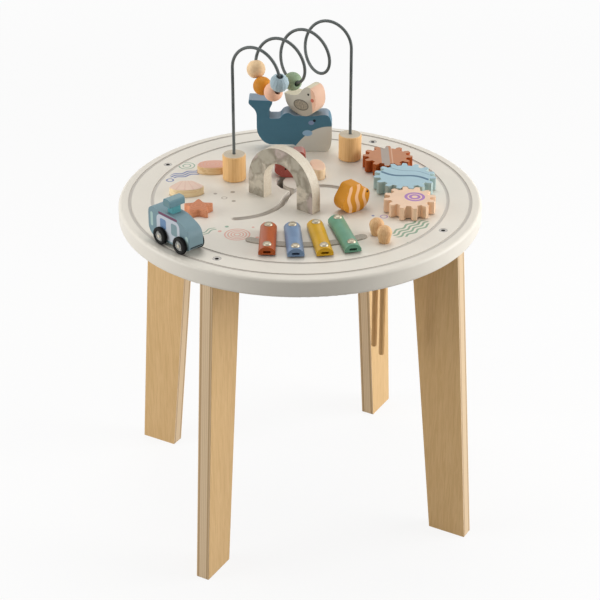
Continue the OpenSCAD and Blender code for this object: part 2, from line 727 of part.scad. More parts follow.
// Gear with involute teeth and a blind hole for its axle
module gear(at, turn, pitch_r, teeth, tint) {
    side = tooth_side(pitch_r, teeth);
    n = len(side);
    outline = [for (i = [0 : teeth - 1]) each concat(
        [for (s = side) polar(s[0], 360 / teeth * i - s[1])],
        [for (k = [n - 1 : -1 : 0]) polar(side[k][0], 360 / teeth * i + side[k][1])])];
    color(tint) difference() {
        translate([at.x, at.y, gear_z]) rotate([0, 0, turn]) linear_extrude(gear_t) polygon(outline);
        translate([at.x, at.y, gear_z - eps])
            cylinder(d = axle_d + 2 * fit_gap, h = gear_t - axle_top_gap + fit_gap + eps);
    }
}

module gear_blue() { gear(gear_at, blue_phase, blue_pitch_r, blue_teeth, "#a5bec8"); }
module gear_orange() { gear(orange_gear_at, mesh_turn(orange_way), small_pitch_r, small_teeth, "#be7850"); }
module gear_peach() { gear(peach_gear_at, mesh_turn(peach_way), small_pitch_r, small_teeth, "#e6c3a5"); }

module gear_axles() {
    color("#cda069") for (p = gear_places) translate([p.x, p.y, table_h - axle_seat])
        cylinder(d = axle_d, h = axle_seat + washer_t + gear_gap + gear_t - axle_top_gap);
}

module gear_washers() {
    color("#f0f0ea") for (p = gear_places) on_top(p) difference() {
        cylinder(d = 2 * axle_d, h = washer_t);
        translate([0, 0, -eps]) cylinder(d = axle_d + 2 * fit_gap, h = washer_t + 2 * eps);
    }
}

// Section of a bar: a flat underside, an arched back and a flat hollow between them
module key_section() {
    low = key_lift + key_floor;
    high = low + key_slot_h;
    half = key_slot_w / 2;
    cut = key_slot_h / 2.5;
    difference() {
        intersection() {
            translate([0, key_h - key_arch_r]) circle(key_arch_r);
            translate([-key_w / 2, key_lift]) square([key_w, key_h]);
        }
        polygon(rounded([[-half, low, cut], [half, low, cut], [half, high, cut], [-half, high, cut]]));
    }
}

// Bar of hollow metal, from over its outer screw to over its inner one
module key(i, tint) {
    length = key_length(i) + 2 * key_over;
    color(tint) on_top(key_at(i), key_way(i)) difference() {
        translate([-key_over, 0, 0]) rotate([90, 0, 90]) linear_extrude(length) key_section();
        for (x = [0, key_length(i)]) translate([x, 0, 0])
            cylinder(d = key_screw_d + 2 * fit_gap, h = key_h + eps);
    }
}

module key_rust() { key(0, "#ba5c34"); }
module key_blue() { key(1, "#788caf"); }
module key_ochre() { key(2, "#d7a52d"); }
module key_green() { key(3, "#699b82"); }

// Domed screws that hold the bars
module key_screws() {
    color("silver") for (p = key_screw_at) translate([p.x, p.y, table_h]) {
        translate([0, 0, -key_screw_grip]) cylinder(d = key_screw_d, h = key_screw_grip + key_h);
        translate([0, 0, key_h]) rotate_extrude() intersection() {
            dome_r = (pow(key_head_d / 2, 2) + pow(key_head_h, 2)) / (2 * key_head_h);
            translate([0, key_head_h - dome_r]) circle(dome_r);
            square([key_head_d / 2, key_head_h]);
        }
    }
}

// Rubber cushions under the bars
module key_cushions() {
    color("#8f8f88") for (p = key_screw_at) on_top(p) difference() {
        cylinder(d = cushion_d, h = key_lift);
        translate([0, 0, -eps]) cylinder(d = key_screw_d + 2 * fit_gap, h = key_lift + 2 * eps);
    }
}

// Felt strip under the bars, bent round the table's axis
module damper_strip() {
    color("#a8a49c") on_top([0, 0]) linear_extrude(strip_t)
        polygon(bend_outline([0, 0], strip_r, strip_first_deg, strip_last_deg, strip_w));
}

// Mallet: an egg-shaped head on a stick that hangs through the top
module mallet_head(at) {
    r = mallet_head_d / 2;
    base_r = 0.7 * r;
    color("#c08e58") difference() {
        on_top(at) rotate_extrude() {
            intersection() {
                translate([0, mallet_head_h - r]) circle(r);
                translate([0, mallet_head_h - r]) square([r, r]);
            }
            polygon([[0, 0], [base_r, 0], [r, mallet_head_h - r], [0, mallet_head_h - r]]);
        }
        on_top(at) translate([0, 0, -eps])
            cylinder(d = mallet_stick_d + 2 * fit_gap, h = mallet_head_h - r / 2 + eps);
    }
}

module mallet_stick(at) {
    color("#c8a06c") translate([at.x, at.y, table_h - mallet_hang])
        cylinder(d = mallet_stick_d, h = mallet_hang + mallet_head_h - mallet_head_d / 4);
}

module mallet_stick_a() { mallet_stick(mallet_at[0]); }
module mallet_head_a() { mallet_head(mallet_at[0]); }
module mallet_stick_b() { mallet_stick(mallet_at[1]); }
module mallet_head_b() { mallet_head(mallet_at[1]); }

module at_car() {
    rotate([0, 0, car_angle]) translate([road_r, 0, 0]) rotate([0, 0, 90]) children();
}

function axle_x(side) = car_axle_x + side * car_base / 2;

module at_axle(side) {
    at_car() translate([axle_x(side), 0, car_axle_z]) rotate([90, 0, 0]) children();
}

car_outline = [[-33, car_floor, 4], [-39.5, 13, 4], [-39.5, car_roof_h, 10], [9, car_roof_h, 6],
    [35.5, 31, 10], [36, 9.5, 3], [30, car_floor, 3]];
module car_body() {
    color("#73919b") difference() {
        at_car() translate([0, 0, table_h]) sawn(car_outline, car_w);
        for (side = [-1, 1]) at_axle(side)
            cylinder(d = car_axle_d + 2 * fit_gap, h = 2 * car_w, center = true);
    }
}

// Light bar across the roof on its narrower neck, glued on the flat roof
module car_roof() {
    neck_h = 9;
    bar = [[-9, neck_h, 2], [-9, car_bar_h, 4], [3.5, car_bar_h, 4], [3.5, neck_h, 2]];
    color("#5f8a98") at_car() translate([0, 0, table_h + car_roof_h]) {
        translate([-7.5, -6, 0]) cube([9.5, 12, neck_h]);
        sawn(bar, car_w + 2);
    }
}

module car_axle(side) {
    color("silver") at_axle(side) cylinder(d = car_axle_d, h = car_axle_len, center = true);
}

module tyre(side) {
    shoulder = 1.5;
    r = tyre_d / 2;
    color("#1c1d1c") at_axle(side) for (s = [-1, 1]) translate([0, 0, s * gauge / 2 - tyre_w / 2])
        rotate_extrude() polygon([[hub_d / 2 + fit_gap / 2, 0], [r - shoulder, 0], [r, shoulder],
            [r, tyre_w - shoulder], [r - shoulder, tyre_w], [hub_d / 2 + fit_gap / 2, tyre_w]]);
}

module hub(side) {
    color("#d8d8d6") at_axle(side) for (s = [-1, 1]) translate([0, 0, s * gauge / 2 - tyre_w / 2])
        difference() {
            cylinder(d = hub_d, h = tyre_w);
            translate([0, 0, -eps]) cylinder(d = car_axle_d + fit_gap, h = tyre_w + 2 * eps);
        }
}

module car_front_axle() { car_axle(1); }
module car_rear_axle() { car_axle(-1); }
module car_front_tyres() { tyre(1); }
module car_rear_tyres() { tyre(-1); }
module car_front_hubs() { hub(1); }
module car_rear_hubs() { hub(-1); }

// Loose shapes, seated in their recesses
module loose_shape(at, turn, outline, height = shape_h) {
    on_top(at, turn) translate([0, 0, -recess]) shape_block(outline, recess + height);
}

module shape_oval() { color("#e0a898") loose_shape(oval_at, oval_turn, oval_outline); }
module shape_fan() { color("#e6c8b8") loose_shape(fan_at, fan_turn, fan_outline); }
module shape_star() { color("#be6941") loose_shape(star_at, star_turn, star_outline); }
module shape_pebble() { color("#e6b48c") loose_shape(pebble_at, pebble_turn, pebble_outline, pebble_h); }

table_top();
leg_front_left();
leg_front_right();
leg_back_right();
leg_back_left();
leg_bolts();
leg_inserts();
post_left();
post_right();
maze_wire();
post_screws();
bead_natural();
bead_orange();
bead_peach();
bead_blue();
bead_green();
whale();
whale_screws();
bird();
bird_pin();
stone_arch();
arch_screws();
fish();
fish_stem();
fish_keeper();
crab();
crab_stem();
crab_keeper();
gear_blue();
gear_orange();
gear_peach();
gear_axles();
gear_washers();
key_rust();
key_blue();
key_ochre();
key_green();
key_screws();
key_cushions();
damper_strip();
mallet_stick_a();
mallet_head_a();
mallet_stick_b();
mallet_head_b();
car_body();
car_roof();
car_front_axle();
car_rear_axle();
car_front_tyres();
car_rear_tyres();
car_front_hubs();
car_rear_hubs();
shape_oval();
shape_fan();
shape_star();
shape_pebble();
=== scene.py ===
# %% [markdown]
# # A toddler's activity table
# The construction model holds every solid in its right place. This lesson dresses it: eased
# edges, turned and bent details, and paint, timber, metal and felt made from shader nodes.
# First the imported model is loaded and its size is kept, to compare with the dressed one later.

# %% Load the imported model
import json
import math

import bpy
from mathutils import Matrix, Vector


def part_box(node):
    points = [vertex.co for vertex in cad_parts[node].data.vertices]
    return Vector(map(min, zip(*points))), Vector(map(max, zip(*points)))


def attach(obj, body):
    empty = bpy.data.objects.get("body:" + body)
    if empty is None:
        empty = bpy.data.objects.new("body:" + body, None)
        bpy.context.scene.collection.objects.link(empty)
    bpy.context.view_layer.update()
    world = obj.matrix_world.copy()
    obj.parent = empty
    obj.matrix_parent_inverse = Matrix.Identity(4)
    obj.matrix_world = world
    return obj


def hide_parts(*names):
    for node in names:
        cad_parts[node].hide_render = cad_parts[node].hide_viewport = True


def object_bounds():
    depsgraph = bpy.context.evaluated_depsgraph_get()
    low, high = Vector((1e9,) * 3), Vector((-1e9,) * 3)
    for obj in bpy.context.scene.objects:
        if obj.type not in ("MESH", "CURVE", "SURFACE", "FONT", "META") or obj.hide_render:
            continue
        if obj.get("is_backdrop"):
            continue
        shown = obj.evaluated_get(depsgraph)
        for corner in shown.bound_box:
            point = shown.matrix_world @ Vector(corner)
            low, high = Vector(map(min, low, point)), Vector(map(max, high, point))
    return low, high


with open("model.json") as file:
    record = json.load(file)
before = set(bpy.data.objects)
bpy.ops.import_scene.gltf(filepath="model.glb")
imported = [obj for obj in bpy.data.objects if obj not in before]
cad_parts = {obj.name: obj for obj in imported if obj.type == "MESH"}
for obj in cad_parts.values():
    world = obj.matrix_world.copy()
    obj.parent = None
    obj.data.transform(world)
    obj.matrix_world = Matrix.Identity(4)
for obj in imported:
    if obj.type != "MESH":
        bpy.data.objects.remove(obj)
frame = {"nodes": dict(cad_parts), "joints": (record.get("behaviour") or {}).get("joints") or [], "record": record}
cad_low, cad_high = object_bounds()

MM = 0.001
TABLE_H = 425.0
record = frame["record"]
body_of_node = {n: body for body, nodes in record["behaviour"]["bodies"].items() for n in nodes}
joint_at = {j["name"]: Vector(j["pos_m"]) / MM for j in frame["joints"] if "pos_m" in j}
print(len(frame["nodes"]), "solids,", len(joint_at), "hinges, height", round(cad_high.z / MM), "mm")

# %% [markdown]
# ## Shader helpers
# Every finish below is a small graph of nodes. It could be wired by hand in the shader editor, or
# with five lines of code for each node. These short functions add a node, feed its sockets with
# values or other nodes, and hand back what comes out, so that a recipe reads from top to bottom.

# %% Nodes in one line
def tint(red, green, blue):
    def linear(level):
        level /= 255
        return level / 12.92 if level <= 0.04045 else ((level + 0.055) / 1.055) ** 2.4
    return (linear(red), linear(green), linear(blue), 1.0)


def feed(tree, socket, value):
    if isinstance(value, bpy.types.NodeSocket):
        tree.links.new(value, socket)
    else:
        socket.default_value = value


def add(tree, kind, inputs=None, **settings):
    made = tree.nodes.new(kind)
    for key, value in settings.items():
        setattr(made, key, value)
    for key, value in (inputs or {}).items():
        feed(tree, made.inputs[key], value)
    return made


# %% Sums, vectors and soft steps
def calc(tree, operation, a, b=0.0):
    return add(tree, "ShaderNodeMath", {0: a, 1: b}, operation=operation).outputs[0]


def plus(tree, a, b):
    return calc(tree, "ADD", a, b)


def minus(tree, a, b):
    return calc(tree, "SUBTRACT", a, b)


def times(tree, a, b):
    return calc(tree, "MULTIPLY", a, b)


def vector(tree, operation, a, b=(0, 0, 0)):
    made = add(tree, "ShaderNodeVectorMath", {0: a, 1: b}, operation=operation)
    one_number = operation in ("LENGTH", "DOT_PRODUCT", "DISTANCE")
    return made.outputs["Value" if one_number else "Vector"]


def xyz(tree, x, y=0.0, z=0.0):
    return add(tree, "ShaderNodeCombineXYZ", {0: x, 1: y, 2: z}).outputs[0]


def axes(tree, place):
    parts = add(tree, "ShaderNodeSeparateXYZ", {0: place})
    return parts.outputs[0], parts.outputs[1], parts.outputs[2]


def flattened(tree, place):
    return vector(tree, "MULTIPLY", place, (1, 1, 0))


def step(tree, value, low, high):
    return add(tree, "ShaderNodeMapRange", {"Value": value, "From Min": low, "From Max": high},
               interpolation_type="SMOOTHSTEP").outputs[0]


# %% Colours and noise
def mix(tree, mask, under, over):
    made = add(tree, "ShaderNodeMix", data_type="RGBA")
    for slot, value in ((0, mask), (6, under), (7, over)):
        feed(tree, made.inputs[slot], value)
    return made.outputs[2]


def noise(tree, place, stretch, detail=3.0, rough=0.55):
    if not isinstance(stretch, tuple):
        stretch = (stretch, stretch, stretch)
    scaled = vector(tree, "MULTIPLY", place, stretch)
    return add(tree, "ShaderNodeTexNoise",
               {"Vector": scaled, "Scale": 1.0, "Detail": detail, "Roughness": rough}).outputs[0]


# %% [markdown]
# ## Camera and studio
# The camera stands where the photograph was taken: low enough to see the legs in full, high
# enough to look down on the play surface. A long lens keeps the legs nearly parallel, where a
# short one from close by would splay them.

# %% Camera
EYE = Vector((-528.1, -1898.4, 1342.5)) * MM
SIGHT = Vector((0.2357, 0.8477, -0.4752))
SENSOR_W, LENS = 36.0, 104.83
scene = bpy.context.scene
camera = bpy.data.objects.new("camera", bpy.data.cameras.new("camera"))
scene.collection.objects.link(camera)
camera.location = EYE
camera.rotation_euler = SIGHT.to_track_quat("-Z", "Y").to_euler()
camera.data.sensor_width = SENSOR_W
camera.data.lens = LENS
camera.data.clip_end = 30.0
scene.camera = camera
scene.view_settings.view_transform = "Standard"
print("camera", round(math.degrees(math.asin(-SIGHT.z)), 1), "degrees above the table's level")

# %% [markdown]
# Two large soft lamps stand to the right and the left, and a third hangs above and a little
# behind. One lamp beside the camera would be simpler, but then the faces that turn to the camera
# would be the brightest. Here they stay the darkest, as in the photograph, and no shadow is hard.

# %% Lamps
LAMP_AIM = Vector((0, 0, 0.4))


def soft_lamp(name, place, size, power):
    lamp = bpy.data.objects.new(name, bpy.data.lights.new(name, "AREA"))
    lamp.data.shape = "DISK"
    lamp.data.size = size
    lamp.data.energy = power
    lamp.location = place
    lamp.rotation_euler = (LAMP_AIM - Vector(place)).to_track_quat("-Z", "Y").to_euler()
    scene.collection.objects.link(lamp)


soft_lamp("right lamp", (2.22, -0.62, 0.85), 2.0, 55.5)
soft_lamp("left lamp", (-2.33, 0.15, 0.85), 2.0, 38.5)
soft_lamp("top lamp", (0.1, 0.7, 2.5), 1.6, 19.8)
print("three soft lamps")

# %% [markdown]
# The floor and the dome answer the camera and mirrors with white, so the background is pale. More
# light would do that too, but it would bleach the table. Near the table a share of plain paper
# stays in the floor and keeps the shadow; far away the floor fades into the white of the dome.

# %% Floor and dome
FLOOR_SIZE = 18.0
WHITE = (1, 1, 1, 1)
PAPER_WHITE = (0.88, 0.88, 0.88, 1)
BOUNCE_GREY = (0.36, 0.36, 0.36, 1)
GLOW_SHARE, FADE_FROM, FADE_TO = 0.87, 0.8, 3.2
DOME_TINT, DOME_LIGHT = (1.0, 0.985, 0.96, 1), 0.27


def deselect():
    bpy.ops.object.select_all(action="DESELECT")


def seen_directly(tree):
    rays = add(tree, "ShaderNodeLightPath").outputs
    mirrored = calc(tree, "MAXIMUM", rays["Is Glossy Ray"], rays["Is Transmission Ray"])
    return calc(tree, "MAXIMUM", mirrored, rays["Is Camera Ray"])


def shown_as(tree, output, share, plain, white):
    both = add(tree, "ShaderNodeMixShader", {0: share, 1: plain.outputs[0], 2: white.outputs[0]})
    add(tree, output, {"Surface": both.outputs[0]})


deselect()
bpy.ops.mesh.primitive_plane_add(size=FLOOR_SIZE)
floor = bpy.context.object
floor.name = "studio_floor"
floor_paper = bpy.data.materials.new("studio floor")
floor_paper.use_nodes = True
tree = floor_paper.node_tree
tree.nodes.clear()
seen = seen_directly(tree)
spots = add(tree, "ShaderNodeTexCoord").outputs["Object"]
far = step(tree, vector(tree, "LENGTH", spots), FADE_FROM, FADE_TO)
white_share = plus(tree, times(tree, far, 1 - GLOW_SHARE), GLOW_SHARE)
paper = add(tree, "ShaderNodeBsdfDiffuse", {"Color": mix(tree, seen, BOUNCE_GREY, PAPER_WHITE)})
glow = add(tree, "ShaderNodeEmission", {"Color": WHITE, "Strength": 1.0})
shown_as(tree, "ShaderNodeOutputMaterial", times(tree, seen, white_share), paper, glow)
floor.data.materials.append(floor_paper)
floor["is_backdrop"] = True

world = bpy.data.worlds.new("studio")
scene.world = world
world.use_nodes = True
tree = world.node_tree
tree.nodes.clear()
dome = add(tree, "ShaderNodeBackground", {"Color": DOME_TINT, "Strength": DOME_LIGHT})
backdrop = add(tree, "ShaderNodeBackground", {"Color": WHITE, "Strength": 1.0})
shown_as(tree, "ShaderNodeOutputWorld", seen_directly(tree), dome, backdrop)
print("a white floor that keeps its shadow, and a pale dome")

# %% [markdown]
# ## Shaping helpers
# Sawn wood has no knife edges: a sander rounds them over. Each block could be drawn again with
# round edges, but its outline is already exact in the construction model. So most pieces start
# from a copy of their solid, which is cleaned of triangles and then bevelled. Weighted normals
# keep the big faces flat next to the small round edges.

# %% Copy and ease a piece
MERGE_GAP = 0.02 * MM
FLAT_ANGLE = math.radians(0.8)


def pick(piece):
    deselect()
    piece.select_set(True)
    bpy.context.view_layer.objects.active = piece


def apply(piece, modifier):
    pick(piece)
    bpy.ops.object.modifier_apply(modifier=modifier.name)


def copy_of(node, name):
    piece = bpy.data.objects.new(name, frame["nodes"][node].data.copy())
    scene.collection.objects.link(piece)
    piece.data.materials.clear()
    pick(piece)
    if piece.data.has_custom_normals:
        bpy.ops.mesh.customdata_custom_splitnormals_clear()
    bpy.ops.object.mode_set(mode="EDIT")
    bpy.ops.mesh.select_all(action="SELECT")
    bpy.ops.mesh.remove_doubles(threshold=MERGE_GAP)
    bpy.ops.mesh.dissolve_limited(angle_limit=FLAT_ANGLE)
    bpy.ops.object.mode_set(mode="OBJECT")
    return piece


def smooth(piece, angle=40):
    pick(piece)
    bpy.ops.object.shade_smooth_by_angle(angle=math.radians(angle))
    flats = piece.modifiers.new("flat faces", "WEIGHTED_NORMAL")
    flats.keep_sharp = True
    flats.weight = 60
    apply(piece, flats)


def ease(piece, width, segments=3, corner=38):
    bevel = piece.modifiers.new("eased edges", "BEVEL")
    bevel.width = width * MM
    bevel.segments = segments
    bevel.limit_method = "ANGLE"
    bevel.angle_limit = math.radians(corner)
    bevel.use_clamp_overlap = True
    apply(piece, bevel)
    smooth(piece)


# %% [markdown]
# A finished piece takes the place of its solid. It rides on the same body, so that it moves with
# the right joint, and it gets its material. That could be set by hand for each piece,
# but one function can't forget a step. Solids that hardly show stay, and only get a coat.

# %% Hand a piece over
def hand_over(piece, material, *nodes):
    piece.data.materials.clear()
    piece.data.materials.append(material)
    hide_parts(*nodes)
    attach(piece, body_of_node[nodes[0]])
    print(piece.name, "stands for", ", ".join(nodes), "with", len(piece.data.polygons), "faces")


def coat(material, *nodes):
    for node in nodes:
        cad = frame["nodes"][node].data
        cad.materials.clear()
        cad.materials.append(material)


# %% [markdown]
# Beads, tyres and hubs are turned on a lathe. A ball or a cylinder would be a quick start, but
# its bore, lips and grooves would all have to be cut afterwards. A profile of points, spun round
# an axis, has them from the start. The profile is a closed loop, so the spun shape is closed too
# once its seam is merged.

# %% Turn a profile and join a pair
SEAM_GAP = 0.01 * MM


def turned(name, profile, steps):
    mesh = bpy.data.meshes.new(name)
    count = len(profile)
    loop = [(i, (i + 1) % count) for i in range(count)]
    mesh.from_pydata([(r * MM, 0, z * MM) for r, z in profile], loop, [])
    piece = bpy.data.objects.new(name, mesh)
    scene.collection.objects.link(piece)
    pick(piece)
    bpy.ops.object.mode_set(mode="EDIT")
    bpy.ops.mesh.select_all(action="SELECT")
    bpy.ops.mesh.spin(steps=steps, angle=2 * math.pi, center=(0, 0, 0), axis=(0, 0, 1))
    bpy.ops.mesh.select_all(action="SELECT")
    bpy.ops.mesh.remove_doubles(threshold=SEAM_GAP)
    bpy.ops.mesh.normals_make_consistent(inside=False)
    bpy.ops.object.mode_set(mode="OBJECT")
    return piece


def joined(name, pieces):
    deselect()
    for piece in pieces:
        piece.select_set(True)
    bpy.context.view_layer.objects.active = pieces[0]
    bpy.ops.object.join()
    whole = bpy.context.view_layer.objects.active
    whole.name = name
    return whole


# %% [markdown]
# ## Finishes that pieces share
# Timber, the skin of a painted block, and simple printed shapes are used by many pieces, so each
# is a node group with named sockets. A picture would blur up close and need a UV map; noise and
# distances stay sharp and fit any piece.

# %% Start a group and use one
def new_group(name, inputs, outputs):
    group = bpy.data.node_groups.new(name, "ShaderNodeTree")
    for label, kind in inputs:
        group.interface.new_socket(label, in_out="INPUT", socket_type="NodeSocket" + kind)
    for label, kind in outputs:
        group.interface.new_socket(label, in_out="OUTPUT", socket_type="NodeSocket" + kind)
    given = group.nodes.new("NodeGroupInput").outputs
    return group, given, group.nodes.new("NodeGroupOutput").inputs


def use(tree, group, **inputs):
    made = tree.nodes.new("ShaderNodeGroup")
    made.node_tree = group
    for key, value in inputs.items():
        feed(tree, made.inputs[key], value)
    return made.outputs


SKIN_OUT = [("Color", "Color"), ("Roughness", "Float"), ("Height", "Float")]
MASK_OUT = [("Mask", "Float")]

# %% [markdown]
# Timber has a broad figure, year bands across the grain and fine pores along it. One stretched
# noise would look like brushed clay, and a wave alone like corduroy. So a broad noise bends the
# bands, a fine one adds pores, and their sum chooses between a pale and a deep tone.

# %% Timber: grain that runs along X
BROAD_GRAIN, FINE_GRAIN = (0.012, 0.22, 0.22), (0.05, 1.7, 1.7)
timber, given, out = new_group(
    "Timber", [("Place", "Vector"), ("Pale", "Color"), ("Deep", "Color")], SKIN_OUT)
broad = noise(timber, given["Place"], BROAD_GRAIN, 5.0)
fine = noise(timber, given["Place"], FINE_GRAIN)
_, across, _ = axes(timber, given["Place"])
wander = times(timber, broad, 34.0)
bands = calc(timber, "SINE", plus(timber, times(timber, across, 0.5), wander))
grain = plus(timber, times(timber, broad, 0.55), times(timber, bands, 0.09))
grain = plus(timber, grain, times(timber, fine, 0.45))
deeper = step(timber, grain, 0.3, 0.72)
timber.links.new(mix(timber, deeper, given["Pale"], given["Deep"]), out["Color"])
timber.links.new(plus(timber, times(timber, fine, 0.16), 0.42), out["Roughness"])
timber.links.new(fine, out["Height"])
print(timber.name, "has", len(timber.nodes), "nodes")

# %% [markdown]
# Blocks like these are rolled with thin paint: its tone clouds a little, the roller leaves a
# stipple, and the fibre of the wood shows through. A flat colour would look like plastic. The
# group shades one colour by two noises and hands out a height for a slight bump.

# %% Paint: thin, rolled on, a little uneven
CLOUD, STIPPLE, FIBRE = 0.07, 1.3, (0.06, 1.1, 1.1)
paint, given, out = new_group(
    "Painted skin", [("Place", "Vector"), ("Paint", "Color"), ("Mottle", "Float")], SKIN_OUT)
cloudy = noise(paint, given["Place"], CLOUD)
stipple = noise(paint, given["Place"], STIPPLE, 2.0)
fibre = noise(paint, given["Place"], FIBRE)
fibre_share = times(paint, minus(paint, fibre, 0.5), 0.6)
uneven = plus(paint, minus(paint, cloudy, 0.5), fibre_share)
level = plus(paint, times(paint, uneven, given["Mottle"]), 1.0)
shaded = add(paint, "ShaderNodeVectorMath", {0: given["Paint"], "Scale": level}, operation="SCALE")
paint.links.new(shaded.outputs["Vector"], out["Color"])
paint.links.new(plus(paint, times(paint, cloudy, 0.18), 0.4), out["Roughness"])
skin_height = plus(paint, times(paint, stipple, 0.6), times(paint, fibre, 0.4))
paint.links.new(skin_height, out["Height"])
print(paint.name, "has", len(paint.nodes), "nodes")

# %% [markdown]
# The prints are made of four plain shapes: a disc, rings, a rounded slab and a wavy line. Each
# could be a thin mesh just above the face, but that flickers and casts a shadow. Here each is a
# mask from the distance to the shape's edge, with a soft step in place of a jagged border.

# %% Printed shapes: disc and rings
disc, given, out = new_group(
    "Disc", [("Place", "Vector"), ("Centre", "Vector"), ("Radii", "Vector")], MASK_OUT)
from_centre = vector(disc, "SUBTRACT", given["Place"], given["Centre"])
away = vector(disc, "LENGTH", vector(disc, "DIVIDE", from_centre, given["Radii"]))
disc.links.new(step(disc, away, 1.06, 0.94), out["Mask"])

ring, given, out = new_group(
    "Rings", [("Place", "Vector"), ("Centre", "Vector"), ("Spacing", "Float"),
              ("Count", "Float"), ("Width", "Float")], MASK_OUT)
reach = vector(ring, "DISTANCE", given["Place"], given["Centre"])
away = calc(ring, "DIVIDE", reach, given["Spacing"])
off = calc(ring, "ABSOLUTE", minus(ring, away, calc(ring, "ROUND", away)))
off = times(ring, off, given["Spacing"])
line = step(ring, minus(ring, off, times(ring, given["Width"], 0.5)), 0.15, -0.15)
last = step(ring, minus(ring, away, given["Count"]), 0.5, 0.49)
ring.links.new(times(ring, line, times(ring, last, step(ring, away, 0.5, 0.51))), out["Mask"])

# %% Printed shapes: slab and wave
slab, given, out = new_group(
    "Slab", [("Place", "Vector"), ("Centre", "Vector"), ("Half", "Vector"), ("Round", "Float")],
    MASK_OUT)
apart = vector(slab, "ABSOLUTE", vector(slab, "SUBTRACT", given["Place"], given["Centre"]))
corner_room = xyz(slab, given["Round"], given["Round"], given["Round"])
past = vector(slab, "ADD", vector(slab, "SUBTRACT", apart, given["Half"]), corner_room)
past = vector(slab, "LENGTH", vector(slab, "MAXIMUM", past))
slab.links.new(step(slab, minus(slab, past, given["Round"]), 0.12, -0.12), out["Mask"])

wave, given, out = new_group(
    "Wave", [("Place", "Vector"), ("Level", "Float"), ("Swing", "Float"), ("Length", "Float"),
             ("Width", "Float")], MASK_OUT)
along, up, _ = axes(wave, given["Place"])
turn = calc(wave, "DIVIDE", times(wave, along, 2 * math.pi), given["Length"])
middle = plus(wave, times(wave, calc(wave, "SINE", turn), given["Swing"]), given["Level"])
off = calc(wave, "ABSOLUTE", minus(wave, up, middle))
past = minus(wave, off, times(wave, given["Width"], 0.5))
wave.links.new(step(wave, past, 0.2, -0.2), out["Mask"])
print("groups:", ", ".join(g.name for g in bpy.data.node_groups))

# %% [markdown]
# A material starts with the place of each point in millimetres, measured from the piece's own
# foot and turned with the piece, so that a pattern can be laid out as on a workbench. The facing
# is the surface direction in the same frame: it tells a sawn side from a painted face. Splitting
# the mesh into two materials would do that too, but with a hard line at every round edge.

# %% Begin and end a material
SATIN = 0.2
BUMP_DEPTH = 0.3 * MM


def begin(name, at=(0, 0, TABLE_H), turn=0.0):
    material = bpy.data.materials.new(name)
    material.use_nodes = True
    tree = material.node_tree
    spots = add(tree, "ShaderNodeTexCoord").outputs
    lay = {"Vector": spots["Object"], "Location": [c * MM for c in at],
           "Rotation": (0, 0, math.radians(turn)), "Scale": (MM, MM, MM)}
    place = add(tree, "ShaderNodeMapping", lay, vector_type="TEXTURE")
    look = {"Vector": spots["Normal"], "Rotation": (0, 0, math.radians(turn))}
    facing = add(tree, "ShaderNodeMapping", look, vector_type="TEXTURE")
    return material, tree, place.outputs[0], facing.outputs[0]


def finish(material, colour, rough, height=None, lift=0.12, **constants):
    tree = material.node_tree
    shader = tree.nodes["Principled BSDF"]
    feed(tree, shader.inputs["Base Color"], colour)
    feed(tree, shader.inputs["Roughness"], rough)
    shader.inputs["Specular IOR Level"].default_value = SATIN
    for key, value in constants.items():
        shader.inputs[key.replace("_", " ")].default_value = value
    if height is not None:
        bump = add(tree, "ShaderNodeBump",
                   {"Height": height, "Strength": lift, "Distance": BUMP_DEPTH})
        tree.links.new(bump.outputs[0], shader.inputs["Normal"])
    return material


# %% Painted and bare wood
SIDEWAYS, UPWARD = (0, 1, 0), (0, 0, 1)


def steep(tree, facing, axis, low=0.35, high=0.7):
    lean = calc(tree, "ABSOLUTE", vector(tree, "DOT_PRODUCT", facing, axis))
    return step(tree, lean, low, high)


def painted(name, colour, at=(0, 0, TABLE_H), turn=0.0, pattern=None, mottle=0.16, lift=0.1):
    material, tree, place, facing = begin(name, at, turn)
    skin = use(tree, paint, Place=place, Paint=colour, Mottle=mottle)
    colour = pattern(tree, place, facing, skin["Color"]) if pattern else skin["Color"]
    return finish(material, colour, skin["Roughness"], skin["Height"], lift)


def bare_timber(name, pale, deep, at=(0, 0, TABLE_H), turn=0.0, along="X"):
    material, tree, place, facing = begin(name, at, turn)
    x, y, z = axes(tree, place)
    grain = xyz(tree, *((z, x, y) if along == "Z" else (x, y, z)))
    wood = use(tree, timber, Place=grain, Pale=pale, Deep=deep)
    return finish(material, wood["Color"], wood["Roughness"], wood["Height"], 0.1)


# %% [markdown]
# ## The round top
# The top is a board disc with satin cream paint, two grey road lines in their grooves and a
# taupe track. The prints are plain water signs in coral, sage and blue: ripples, bubbles, short
# wavy lines and dots. They could be thin solids laid on the board, but ink has no thickness: each
# is a mask from a group, laid over the paint where the face looks up.

# %% Colours of the top and its prints
CREAM = tint(232, 226, 214)
# The deep tones are lighter than those at the mouths: painted light for the insides of the grooves.
ROAD_GREY, ROAD_DEEP_PAINTED_LIGHT = tint(188, 182, 173), tint(210, 204, 195)
TAUPE, TRACK_DEEP_PAINTED_LIGHT = tint(214, 206, 196), tint(242, 236, 228)
CORAL = tint(226, 168, 152)
SAGE = tint(132, 166, 140)
SEA_BLUE = tint(104, 120, 170)
LILAC = tint(176, 148, 194)
SAND = tint(168, 156, 144)

# Ink, centre, spacing, count and line width of each ripple
ripples = [(CORAL, (-101, -84), 3.7, 4, 1.7), (SEA_BLUE, (-146, 90), 4.2, 1, 2.0),
           (SAND, (-92, 20), 3.2, 1, 1.2), (LILAC, (82, -84), 4.2, 1, 1.6),
           (SAGE, (-116, 128), 5.0, 2, 1.6)]
